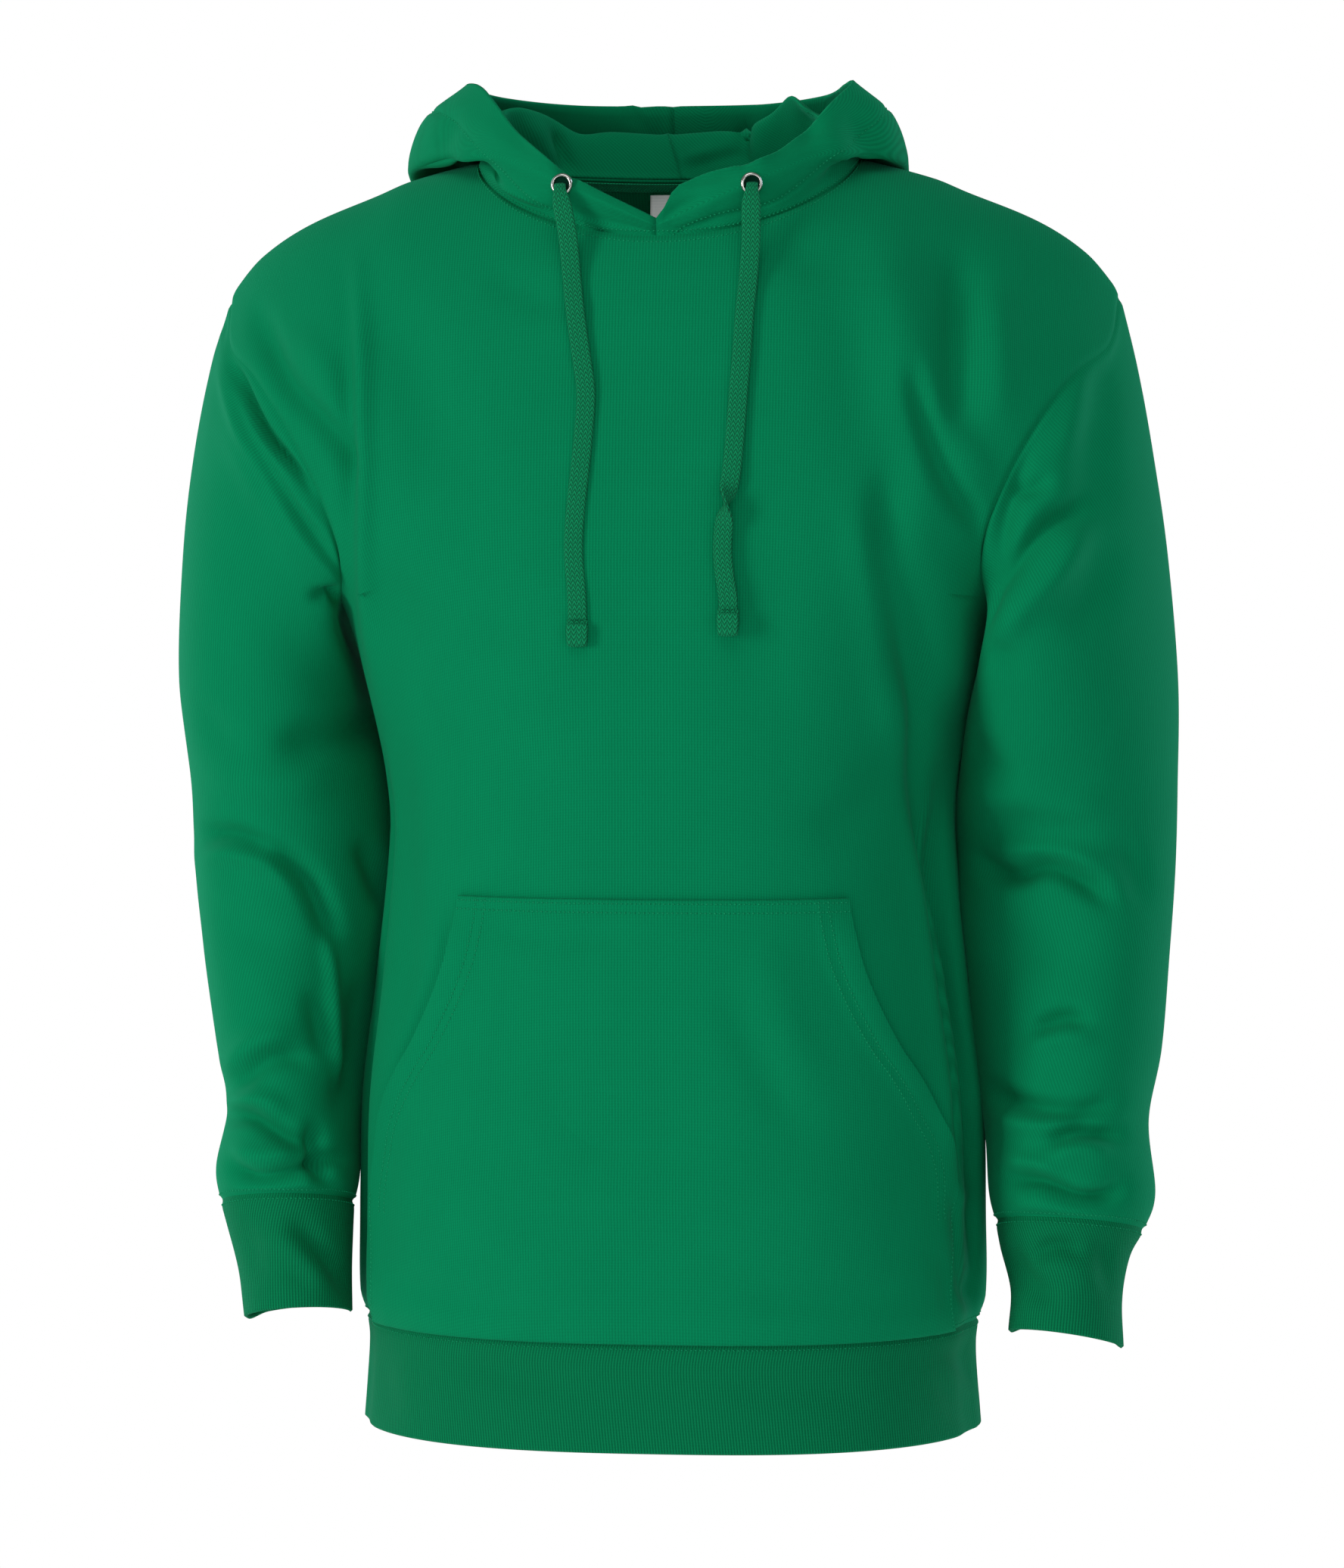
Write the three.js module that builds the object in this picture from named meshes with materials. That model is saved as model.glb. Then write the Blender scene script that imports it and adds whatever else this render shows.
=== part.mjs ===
// Pullover hoodie, filled out as if worn, with its hood down.
// Millimetres, +Z up, the front faces -Y. The origin is in the neck opening, at the height of the
// shoulder line. Left and right are -X and +X.
import * as THREE from "three";

// Driving dimensions
const clothWall = 2; // brushed fleece
const ribWall = 2.4; // doubled rib of cuffs and band
const pocketWall = 1.8;
const seamGap = 0.3; // between two sewn pieces
const armholeGap = 0.7; // the sleeve turns back sharply under the arm
const pocketLift = 0.5; // pocket's inside above the front's outside
const bandSeamZ = -647;
const shoulderTip = { x: 252, z: -70 };
const underarm = { x: 188, z: -240 };
const neckHalfWidth = 108;
const neckRoundness = 1.3; // 1 is an ellipse seen from the front, more is a sharper scoop
const frontNeckZ = -37.6;
const backNeckZ = 1;
const rollHeight = 110; // the shoulder rounds over within this height
const sideFullness = 2.7; // exponent of the body's section, 2 is an ellipse
const levelBelowZ = -300; // below this the rows of the panels are level

// How finely the forms are cut into faces
const neckSteps = 9;
const shoulderSteps = 6;
const armholeSteps = 10;
const sideRows = 12;
const sleeveRings = 20;
const hoodRows = 20;

// Height of the shoulder ridge above the origin, by distance from the middle
const ridge = [
  { x: 0, z: 22 },
  { x: 60, z: 17 },
  { x: 108, z: 7 },
  { x: 148, z: -3.5 },
  { x: 166, z: -11 },
  { x: 207, z: -28 },
  { x: 233, z: -45 },
  { x: 248, z: -62 },
  { x: 252, z: -70 },
];

// The body by height: half width of its section, and its depth in front and behind
const body = [
  { z: 25, half: 250, front: 84, back: 84 },
  { z: -33, half: 254, front: 92, back: 94 },
  { z: -70, half: 258, front: 98, back: 104 },
  { z: -110, half: 268, front: 106, back: 112 },
  { z: -150, half: 258, front: 114, back: 115 },
  { z: -190, half: 232, front: 119, back: 113 },
  { z: -220, half: 204, front: 122, back: 110 },
  { z: -240, half: 188, front: 122, back: 108 },
  { z: -260, half: 180, front: 122, back: 105 },
  { z: -284, half: 173.5, front: 121.5, back: 102 },
  { z: -307, half: 168, front: 121, back: 99 },
  { z: -340, half: 162, front: 120, back: 96 },
  { z: -372, half: 160, front: 120, back: 95 },
  { z: -456, half: 166, front: 120, back: 98 },
  { z: -521, half: 174, front: 120, back: 103 },
  { z: -590, half: 178, front: 119, back: 106 },
  { z: -634, half: 178, front: 118, back: 107 },
  { z: -647, half: 174, front: 115, back: 104 },
];

// Where the armhole seam runs, by height: distance from the middle
const armhole = [
  { z: -70, x: 252 },
  { z: -98, x: 247 },
  { z: -112, x: 231 },
  { z: -142, x: 209 },
  { z: -180, x: 189 },
  { z: -208, x: 180 },
  { z: -228, x: 181 },
  { z: -240, x: 188 },
];

// The long fold beside each side seam, in front of it: a trough by height
const sideFold = [
  { z: -300, depth: 0 },
  { z: -380, depth: 5 },
  { z: -470, depth: 11 },
  { z: -560, depth: 12 },
  { z: -620, depth: 7 },
  { z: -647, depth: 3 },
];
const sideFoldAt = 0.978; // as a fraction of the half width
const sideFoldWidth = 0.022;
const sideFoldEnds = 0.012; // it runs out to nothing this close to the side seam
const sideFoldPull = { sideways: 0.6, inwards: 0.5 };

// Each sleeve from armhole to cuff: its outer and inner edge seen from the front, the middle of
// its depth, half its depth, how far the inner side lies behind the outer one, and how far the ring
// leans up towards the front
const sleeves = {
  left: [
    { at: 0, outX: 252, outZ: -70, inX: 188, inZ: -240, midY: 0, deep: 80, skew: 0, lean: 0 },
    { at: 1, outX: 264, outZ: -110, inX: 190, inZ: -256, midY: 1, deep: 80, skew: 8, lean: 0 },
    { at: 2, outX: 274, outZ: -160, inX: 182, inZ: -279, midY: 5, deep: 78, skew: 18, lean: 0 },
    { at: 3, outX: 281, outZ: -215, inX: 173, inZ: -306, midY: 11, deep: 76, skew: 26, lean: 0 },
    { at: 4, outX: 285, outZ: -285, inX: 162, inZ: -342, midY: 17, deep: 73, skew: 26, lean: 0 },
    { at: 5, outX: 279, outZ: -345, inX: 157, inZ: -380, midY: 21, deep: 70, skew: 22, lean: 0.02 },
    { at: 6, outX: 277, outZ: -392, inX: 158, inZ: -418, midY: 20, deep: 67, skew: 18, lean: -0.04 },
    { at: 7, outX: 271, outZ: -440, inX: 167, inZ: -458, midY: 13, deep: 64, skew: 16, lean: -0.1 },
    { at: 8, outX: 262, outZ: -492, inX: 175, inZ: -503, midY: 3, deep: 59, skew: 12, lean: -0.16 },
    { at: 9, outX: 254, outZ: -532, inX: 180, inZ: -539, midY: -6, deep: 53, skew: 6, lean: -0.2 },
    { at: 10, outX: 259, outZ: -565, inX: 180, inZ: -568, midY: -15, deep: 47, skew: 0, lean: -0.22 },
    { at: 11, outX: 256, outZ: -584, inX: 182, inZ: -582, midY: -20, deep: 38, skew: 0, lean: -0.24 },
  ],
  right: [
    { at: 0, outX: 252, outZ: -70, inX: 188, inZ: -240, midY: 0, deep: 80, skew: 0, lean: 0 },
    { at: 1, outX: 262, outZ: -110, inX: 187, inZ: -256, midY: 1, deep: 80, skew: -10, lean: 0 },
    { at: 2, outX: 271, outZ: -160, inX: 176.5, inZ: -279, midY: 5, deep: 78, skew: -24, lean: 0 },
    { at: 3, outX: 279, outZ: -215, inX: 169.6, inZ: -306, midY: 10, deep: 76, skew: -22, lean: 0 },
    { at: 4, outX: 285, outZ: -285, inX: 164, inZ: -342, midY: 16, deep: 73, skew: -8, lean: 0 },
    { at: 5, outX: 285, outZ: -345, inX: 157, inZ: -380, midY: 19, deep: 70, skew: 22, lean: 0.02 },
    { at: 6, outX: 284, outZ: -392, inX: 158, inZ: -418, midY: 17, deep: 67, skew: 18, lean: -0.04 },
    { at: 7, outX: 281, outZ: -440, inX: 167, inZ: -458, midY: 9, deep: 64, skew: 16, lean: -0.1 },
    { at: 8, outX: 277, outZ: -492, inX: 175, inZ: -503, midY: -1, deep: 59, skew: 12, lean: -0.16 },
    { at: 9, outX: 270, outZ: -532, inX: 181, inZ: -539, midY: -11, deep: 53, skew: 6, lean: -0.2 },
    { at: 10, outX: 274, outZ: -572, inX: 183, inZ: -572, midY: -20, deep: 47, skew: 0, lean: -0.22 },
    { at: 11, outX: 268, outZ: -592, inX: 187, inZ: -588, midY: -25, deep: 38, skew: 0, lean: -0.24 },
  ],
};

// Each cuff goes on from its sleeve's last ring
const cuffs = {
  left: [
    { at: 1, outX: 251, outZ: -600, inX: 182, inZ: -597, midY: -24, deep: 33, skew: 0, lean: -0.25 },
    { at: 2, outX: 244, outZ: -624, inX: 182, inZ: -620, midY: -29, deep: 31, skew: 0, lean: -0.26 },
    { at: 3, outX: 240, outZ: -648, inX: 181, inZ: -643, midY: -34, deep: 31, skew: 0, lean: -0.27 },
  ],
  right: [
    { at: 1, outX: 260, outZ: -607, inX: 190, inZ: -603, midY: -28, deep: 33, skew: 0, lean: -0.25 },
    { at: 2, outX: 256, outZ: -631, inX: 196, inZ: -626, midY: -33, deep: 31, skew: 0, lean: -0.26 },
    { at: 3, outX: 257, outZ: -656, inX: 195, inZ: -648, midY: -38, deep: 31, skew: 0, lean: -0.27 },
  ],
};

// Half of the hood by its angle round the neck: 0 in front, 90 at the shoulder and 180 behind.
// From the neck seam the cloth rises to a crest, goes down to a fold and comes up to the rim.
const crest = [
  { angle: 0, x: 0, y: -82.5, z: -35.8 },
  { angle: 30, x: 54.5, y: -76.5, z: -22 },
  { angle: 50, x: 83, y: -62, z: -8 },
  { angle: 65, x: 95, y: -42, z: 9 },
  { angle: 80, x: 92, y: -22, z: 27 },
  { angle: 95, x: 84, y: 2, z: 37 },
  { angle: 120, x: 70, y: 34, z: 37 },
  { angle: 150, x: 38, y: 60, z: 30 },
  { angle: 180, x: 0, y: 70, z: 27 },
];
const wayDown = [
  { angle: 0, x: 0, y: -83, z: -34 },
  { angle: 30, x: 54, y: -79.5, z: -15.5 },
  { angle: 50, x: 86, y: -62, z: -1 },
  { angle: 65, x: 103, y: -42, z: 10 },
  { angle: 80, x: 112, y: -22, z: 16 },
  { angle: 95, x: 117, y: 6, z: 16 },
  { angle: 120, x: 106, y: 56, z: 0 },
  { angle: 150, x: 58, y: 103, z: -46 },
  { angle: 180, x: 0, y: 119, z: -72 },
];
const fold = [
  { angle: 0, x: 0, y: -83.6, z: -32.4 },
  { angle: 30, x: 52.2, y: -81, z: -9.5 },
  { angle: 50, x: 87, y: -62, z: 6 },
  { angle: 65, x: 110, y: -42, z: 9 },
  { angle: 80, x: 130, y: -20, z: 7 },
  { angle: 95, x: 141, y: 12, z: 2 },
  { angle: 120, x: 131, y: 80, z: -32 },
  { angle: 135, x: 107, y: 110, z: -82 },
  { angle: 150, x: 76, y: 124, z: -134 },
  { angle: 168, x: 32, y: 128, z: -186 },
  { angle: 180, x: 0, y: 128, z: -192 },
];
const wayUp = [
  { angle: 0, x: 0, y: -84, z: -30.7 },
  { angle: 30, x: 51.6, y: -80.5, z: -6 },
  { angle: 50, x: 86, y: -61, z: 14 },
  { angle: 65, x: 108, y: -41, z: 26 },
  { angle: 80, x: 126, y: -20, z: 31 },
  { angle: 95, x: 134, y: 12, z: 29 },
  { angle: 120, x: 122, y: 84, z: 6 },
  { angle: 150, x: 70, y: 136, z: -50 },
  { angle: 180, x: 0, y: 151, z: -78 },
];
const rim = [
  { angle: 0, x: 0, y: -84, z: -29 },
  { angle: 30, x: 51, y: -79.5, z: -3 },
  { angle: 50, x: 79, y: -60, z: 19 },
  { angle: 65, x: 95, y: -43, z: 38 },
  { angle: 80, x: 106, y: -22, z: 50 },
  { angle: 95, x: 107, y: 4, z: 50 },
  { angle: 120, x: 92, y: 56, z: 48 },
  { angle: 150, x: 54, y: 90, z: 46 },
  { angle: 180, x: 0, y: 102, z: 46 },
];
const hoodShift = -10; // the hood has slipped this far sideways
const slipFrom = 72; // from this angle on
const slipOver = 25;

// Half width of the pocket by height, from its top edge to the band seam
const pocketEdge = [
  { z: -402, x: 106.5 },
  { z: -433, x: 111.5 },
  { z: -458, x: 120 },
  { z: -484, x: 132 },
  { z: -501, x: 142 },
  { z: -519, x: 151 },
  { z: -542, x: 159 },
  { z: -575, x: 163 },
  { z: -646, x: 162 },
];
const pocketRows = 11;
const pocketSteps = 20;

// Trims
const eyelet = { outer: 6.2, hole: 4.2, high: 1.3, round: 0.5, lift: 0.5, sides: 20 };
const tape = { wide: 9, thick: 0.8, below: 0.5 };
const label = { x: -12, wide: 12.7, high: 24, thick: 0.6, below: 0.6 };
const cord = { wide: 9.4, thick: 2.6, corner: 0.65, step: 9 };
const cordTip = { wide: 11.6, high: 13, thick: 5, forward: 0.8 };

// The free ends of the drawcord, from the eyelet down
const cordRoutes = {
  left: [
    [-53.2, -84.6, -9.8], [-52.9, -87.2, -13.4], [-51.8, -89.4, -19], [-50, -90.8, -27],
    [-47.6, -92.6, -40], [-45, -97.2, -62], [-42.4, -102.8, -81], [-38.8, -107.8, -103],
    [-35.6, -111.8, -124], [-36.2, -116, -145], [-38, -119.4, -167], [-40, -121.9, -188],
    [-41, -124.2, -210], [-39.6, -125, -228], [-38.8, -125.2, -241], [-38.7, -125.2, -249],
  ],
  right: [
    [53.2, -84.6, -9.8], [53.2, -87.2, -13.4], [53, -89.4, -19], [53, -90.8, -27],
    [53.2, -92.6, -40], [52.2, -97.2, -62], [50.7, -102.8, -81], [49.6, -107.8, -103],
    [48.2, -111.8, -124], [47, -116, -145], [45.2, -119.4, -167], [42.2, -121.9, -188],
    [40.6, -124.2, -210], [42, -125, -225], [43.7, -125.2, -236], [43.8, -125.2, -243],
  ],
};

// The band's rings from its seam down, and how far each is let out
const bandRings = [
  { drop: 0, grow: 0 },
  { drop: 14, grow: -1.5 },
  { drop: 40, grow: 0 },
  { drop: 60, grow: 1.5 },
];

// Colours
const kellyGreen = 0x0e7a4c;
const ribGreen = 0x0b6d43;
const nickel = 0xb9bbb8;
const white = 0xe9ebea;

// A value from a table, on a smooth curve through its rows.
function curveAt(rows, by, column, at) {
  const last = rows.length - 1;
  const up = rows[last][by] > rows[0][by] ? 1 : -1;
  let k = 0;
  while (k < last - 1 && up * at > up * rows[k + 1][by]) k++;
  const [a, b] = [rows[k], rows[k + 1]];
  const span = b[by] - a[by];
  const part = THREE.MathUtils.clamp((at - a[by]) / span, 0, 1);
  const slope = (i) => {
    const low = rows[Math.max(i - 1, 0)];
    const high = rows[Math.min(i + 1, last)];
    return (high[column] - low[column]) / (high[by] - low[by]);
  };
  const [p, p2, p3] = [part, part * part, part * part * part];
  return (
    a[column] * (2 * p3 - 3 * p2 + 1) +
    slope(k) * span * (p3 - 2 * p2 + p) +
    b[column] * (3 * p2 - 2 * p3) +
    slope(k + 1) * span * (p3 - p2)
  );
}

const smooth = (part) => THREE.MathUtils.smoothstep(part, 0, 1);

// A point of the body's outside: side is -1 in front and 1 behind.
function bodyPoint(side, fraction, z, edgeX) {
  const half = curveAt(body, "z", "half", z);
  const x = fraction * edgeX;
  const over = Math.min(Math.abs(x) / half, 1);
  const across = Math.sqrt(1 - over ** sideFullness);
  const belowRidge = (curveAt(ridge, "x", "z", Math.abs(x)) - z) / rollHeight;
  const roll = Math.sqrt(1 - (1 - THREE.MathUtils.clamp(belowRidge, 0, 1)) ** 2);
  const deep = curveAt(body, "z", side < 0 ? "front" : "back", z) * across * roll;
  let inset = 0;
  if (side < 0 && z < sideFold[0].z) {
    const away = (over - sideFoldAt) / sideFoldWidth;
    const clearOfSeam = smooth((1 - over) / sideFoldEnds);
    inset = curveAt(sideFold, "z", "depth", z) * Math.exp(-away * away) * clearOfSeam;
  }
  const pulled = x - Math.sign(x) * inset * sideFoldPull.sideways;
  return new THREE.Vector3(pulled, side * (deep - inset * sideFoldPull.inwards), z);
}

// Columns of both panels as fractions of the half width, from -1 to 1.
function panelColumns() {
  const neckPart = neckHalfWidth / shoulderTip.x;
  const half = [];
  for (let i = 0; i < neckSteps; i++)
    half.push(neckPart * Math.sin(((Math.PI / 2) * i) / neckSteps));
  const first = Math.asin(neckPart);
  for (let i = 0; i <= shoulderSteps; i++)
    half.push(Math.sin(first + ((Math.PI / 2 - first) * i) / shoulderSteps));
  return [...half.slice(1).reverse().map((f) => -f), ...half];
}

// Height of each row at the side edge: round the armhole, then down the side seam.
function rowHeights() {
  const heights = [];
  const reach = (shoulderTip.z - underarm.z) / 2;
  for (let i = 0; i <= armholeSteps; i++)
    heights.push(shoulderTip.z - reach * (1 - Math.cos((Math.PI * i) / armholeSteps)));
  for (let i = 1; i <= sideRows; i++)
    heights.push(underarm.z + ((bandSeamZ - underarm.z) * i) / sideRows);
  return heights;
}

// Height of the panel's top edge: the neckline, then the shoulder seam.
function topHeight(side, x) {
  if (x >= neckHalfWidth) return curveAt(ridge, "x", "z", x);
  const middle = side < 0 ? frontNeckZ : backNeckZ;
  const end = curveAt(ridge, "x", "z", neckHalfWidth);
  const square = 1 - (x / neckHalfWidth) ** 2;
  return end + (middle - end) * square ** (neckRoundness / 2);
}

// Rows of points of the front (side -1) or the back (side 1).
function panelGrid(side) {
  const columns = panelColumns();
  return rowHeights().map((edgeZ) => {
    const atArmhole = edgeZ >= underarm.z;
    const edgeX = atArmhole ? curveAt(armhole, "z", "x", edgeZ) : curveAt(body, "z", "half", edgeZ);
    const level = smooth((shoulderTip.z - edgeZ) / (shoulderTip.z - levelBelowZ));
    return columns.map((fraction) => {
      const rise = topHeight(side, Math.abs(fraction) * shoulderTip.x) - shoulderTip.z;
      return bodyPoint(side, fraction, edgeZ + rise * (1 - level), edgeX);
    });
  });
}

// A ring of a sleeve or cuff; its first point is at the outer edge, and it goes round in front.
function armRing(sign, row) {
  const ring = [];
  for (let i = 0; i < 2 * armholeSteps; i++) {
    const turn = (Math.PI * i) / armholeSteps;
    const across = (1 + Math.cos(turn)) / 2;
    const y = row.midY + row.skew * (1 - across) - row.deep * Math.sin(turn);
    const x = row.inX + (row.outX - row.inX) * across;
    const z = row.inZ + (row.outZ - row.inZ) * across + row.lean * (y - row.midY);
    ring.push(new THREE.Vector3(sign * x, y, z));
  }
  return ring;
}

function rowAt(rows, at) {
  const row = {};
  for (const column of Object.keys(rows[0])) row[column] = curveAt(rows, "at", column, at);
  return row;
}

// The armhole edge of both panels as one ring, in the order of armRing.
function armholeRing(sign, front, back) {
  const edge = sign < 0 ? 0 : front[0].length - 1;
  const ring = [];
  for (let i = 0; i <= armholeSteps; i++) ring.push(front[i][edge].clone());
  for (let i = armholeSteps - 1; i > 0; i--) ring.push(back[i][edge].clone());
  return ring;
}

// A sleeve starts on the armhole's own shape and turns into the rings of its table.
function sleeveGrid(sign, rows, start) {
  const plain = armRing(sign, rows[0]);
  const settled = 0.3; // the armhole's shape is gone after this part of the length
  const rings = [start];
  for (let k = 1; k <= sleeveRings; k++) {
    const part = k / sleeveRings;
    const ring = armRing(sign, rowAt(rows, part * (rows.length - 1)));
    const keep = 1 - smooth(part / settled);
    rings.push(ring.map((p, i) => p.addScaledVector(start[i].clone().sub(plain[i]), keep)));
  }
  return rings;
}

function cuffGrid(sign, rows, start) {
  return [start, ...rows.map((row) => armRing(sign, row))];
}

// The neckline of both panels from front to back on one side.
function neckEdge(sign, front, back) {
  const middle = (front[0].length - 1) / 2;
  const edge = [];
  for (let i = 0; i <= neckSteps; i++) edge.push(front[0][middle + sign * i].clone());
  for (let i = neckSteps - 1; i >= 0; i--) edge.push(back[0][middle + sign * i].clone());
  return edge;
}

// Half of the hood: one row of points for each column of the neckline, then turned to rows.
function hoodGrid(sign, start) {
  const columns = start.map((seam, i) => {
    const angle = (90 * i) / neckSteps;
    const slip = hoodShift * smooth((angle - slipFrom) / slipOver);
    const point = (table) =>
      new THREE.Vector3(
        sign * curveAt(table, "angle", "x", angle) + slip,
        curveAt(table, "angle", "y", angle),
        curveAt(table, "angle", "z", angle),
      );
    const through = [seam, ...[crest, wayDown, fold, wayUp, rim].map(point)];
    return new THREE.CatmullRomCurve3(through, false, "centripetal").getPoints(hoodRows);
  });
  return columns[0].map((_, row) => columns.map((column) => column[row]));
}

function bandGrid(front, back) {
  const last = front.length - 1;
  const ring = [...front[last], ...back[last].slice(1, -1).reverse()].map((p) => p.clone());
  return bandRings.map(({ drop, grow }) =>
    ring.map((p) => {
      const scale = 1 + grow / Math.hypot(p.x, p.y);
      return new THREE.Vector3(p.x * scale, p.y * scale, p.z - drop);
    }),
  );
}

// Vertex normals of all sewn grids together, so that two pieces share them along a seam.
function sharedNormals(grids) {
  const sums = new Map();
  const hundredths = (v) => Math.round(v * 100);
  const key = (p) => [p.x, p.y, p.z].map(hundredths).join();
  const add = (p, n) => {
    const found = sums.get(key(p)) ?? new THREE.Vector3();
    sums.set(key(p), found.add(n));
  };
  for (const { rows, closed, flip } of grids)
    for (let r = 0; r < rows.length - 1; r++)
      for (let c = 0; c < rows[r].length - (closed ? 0 : 1); c++) {
        const next = (c + 1) % rows[r].length;
        const [a, b, d, e] = [rows[r][c], rows[r][next], rows[r + 1][c], rows[r + 1][next]];
        const n = e.clone().sub(a).cross(d.clone().sub(b)).normalize();
        for (const p of [a, b, d, e]) add(p, flip ? n.clone().negate() : n);
      }
  return (p) => sums.get(key(p)).clone().normalize();
}

// A closed wall on a grid: its outer face is moved out by lift, its inner face lies inside it.
function wallGeometry({ rows, closed, flip, startGap }, normalAt, wall, lift = 0) {
  const [tall, wide] = [rows.length, rows[0].length];
  const inset = (p, neighbour, gap = seamGap / 2) =>
    p.clone().addScaledVector(neighbour.clone().sub(p).normalize(), gap);
  const points = [];
  for (const depth of [lift, lift - wall])
    for (let r = 0; r < tall; r++)
      for (let c = 0; c < wide; c++) {
        let p = rows[r][c];
        if (r === 0) p = inset(p, rows[1][c], startGap);
        if (r === tall - 1) p = inset(p, rows[r - 1][c]);
        if (!closed && c === 0) p = inset(p, rows[r][1]);
        if (!closed && c === wide - 1) p = inset(p, rows[r][c - 1]);
        points.push(p.clone().addScaledVector(normalAt(rows[r][c]), depth));
      }
  const index = [];
  // Each quad is cut along its shorter diagonal, which keeps both halves of the garment alike.
  const near = 0.001;
  const quad = (...corners) => {
    const [a, b, c, d] = flip ? corners : corners.reverse();
    const direct = points[a].distanceTo(points[c]) <= points[b].distanceTo(points[d]) + near;
    index.push(...(direct ? [a, b, c, a, c, d] : [b, c, d, b, d, a]));
  };
  const at = (r, c, inner) => inner * tall * wide + r * wide + (c % wide);
  const across = closed ? wide : wide - 1;
  for (let r = 0; r < tall - 1; r++)
    for (let c = 0; c < across; c++) {
      quad(at(r, c, 0), at(r + 1, c, 0), at(r + 1, c + 1, 0), at(r, c + 1, 0));
      quad(at(r, c, 1), at(r, c + 1, 1), at(r + 1, c + 1, 1), at(r + 1, c, 1));
    }
  for (let c = 0; c < across; c++) {
    quad(at(0, c, 0), at(0, c + 1, 0), at(0, c + 1, 1), at(0, c, 1));
    quad(at(tall - 1, c, 0), at(tall - 1, c, 1), at(tall - 1, c + 1, 1), at(tall - 1, c + 1, 0));
  }
  for (let r = 0; !closed && r < tall - 1; r++) {
    quad(at(r, 0, 0), at(r, 0, 1), at(r + 1, 0, 1), at(r + 1, 0, 0));
    const end = wide - 1;
    quad(at(r, end, 0), at(r + 1, end, 0), at(r + 1, end, 1), at(r, end, 1));
  }
  const geometry = new THREE.BufferGeometry();
  const numbers = points.flatMap((p) => [p.x, p.y, p.z]);
  geometry.setAttribute("position", new THREE.Float32BufferAttribute(numbers, 3));
  geometry.setIndex(index);
  geometry.computeVertexNormals();
  return geometry;
}

// The pocket lies on the front: its points are the front's own surface, moved out.
function pocketGrid() {
  const rows = [];
  const [top, bottom] = [pocketEdge[0].z, pocketEdge[pocketEdge.length - 1].z];
  for (let r = 0; r <= pocketRows; r++) {
    const z = top + ((bottom - top) * r) / pocketRows;
    const halfBody = curveAt(body, "z", "half", z);
    const part = curveAt(pocketEdge, "z", "x", z) / halfBody;
    const row = [];
    for (let c = 0; c <= pocketSteps; c++) {
      const fraction = part * Math.sin((Math.PI / 2) * ((2 * c) / pocketSteps - 1));
      row.push(bodyPoint(-1, fraction, z, halfBody));
    }
    rows.push(row);
  }
  return rows;
}

// Tape on the inside of the back, just below the neck seam.
function tapeGrid(back) {
  const middle = (back[0].length - 1) / 2;
  return [tape.below, tape.below + tape.wide].map((down) => {
    const row = [];
    for (let c = 1 - neckSteps; c < neckSteps; c++) {
      const [top, below] = [back[0][middle + c], back[1][middle + c]];
      row.push(top.clone().addScaledVector(below.clone().sub(top).normalize(), down));
    }
    return row;
  });
}

// A metal ring, its axis along Y, its underside at 0.
function eyeletGeometry() {
  const { outer, hole, high, round } = eyelet;
  const profile = [
    [hole, 0], [outer, 0], [outer, high - round], [outer - round, high],
    [hole + round, high], [hole, high - round], [hole, 0],
  ].map(([r, y]) => new THREE.Vector2(r, y));
  return new THREE.LatheGeometry(profile, eyelet.sides);
}

// A flat cord: an eight-sided section drawn along its route.
function cordGeometry(points) {
  const { wide, thick, corner } = cord;
  const section = new THREE.Shape([
    [wide / 2, thick / 2 - corner], [wide / 2 - corner, thick / 2],
    [corner - wide / 2, thick / 2], [-wide / 2, thick / 2 - corner],
    [-wide / 2, corner - thick / 2], [corner - wide / 2, -thick / 2],
    [wide / 2 - corner, -thick / 2], [wide / 2, corner - thick / 2],
  ].map(([x, y]) => new THREE.Vector2(x, y)));
  const route = new THREE.CatmullRomCurve3(points, false, "centripetal");
  const steps = Math.round(route.getLength() / cord.step);
  return new THREE.ExtrudeGeometry(section, { steps, extrudePath: route, bevelEnabled: false });
}

function clothMaterial(color) {
  return new THREE.MeshStandardMaterial({ color, roughness: 0.9, metalness: 0 });
}

const hoodie = new THREE.Group();

function addMesh(name, geometry, material) {
  const mesh = new THREE.Mesh(geometry, material);
  mesh.name = name;
  hoodie.add(mesh);
  return mesh;
}

const fleece = clothMaterial(kellyGreen);
const rib = clothMaterial(ribGreen);

// Body, sleeves, cuffs, band and hood as grids of their outer faces
const front = panelGrid(-1);
const back = panelGrid(1);
const sewn = {
  front_panel: { rows: front, flip: true, wall: clothWall },
  back_panel: { rows: back, flip: false, wall: clothWall },
  waistband: { rows: bandGrid(front, back), closed: true, flip: true, wall: ribWall },
};
for (const [name, sign] of [["left", -1], ["right", 1]]) {
  const armStart = armholeRing(sign, front, back);
  const sleeve = sleeveGrid(sign, sleeves[name], armStart);
  const flip = sign > 0;
  sewn["sleeve_" + name] = {
    rows: sleeve,
    closed: true,
    flip: !flip,
    wall: clothWall,
    startGap: armholeGap,
  };
  const cuff = cuffGrid(sign, cuffs[name], sleeve[sleeveRings].map((p) => p.clone()));
  sewn["cuff_" + name] = { rows: cuff, closed: true, flip: !flip, wall: ribWall };
  const hood = hoodGrid(sign, neckEdge(sign, front, back));
  sewn["hood_" + name] = { rows: hood, flip: !flip, wall: clothWall };
}
const normalAt = sharedNormals(Object.values(sewn));
for (const [name, piece] of Object.entries(sewn)) {
  const isRib = name.startsWith("cuff") || name === "waistband";
  addMesh(name, wallGeometry(piece, normalAt, piece.wall), isRib ? rib : fleece);
}

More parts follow.
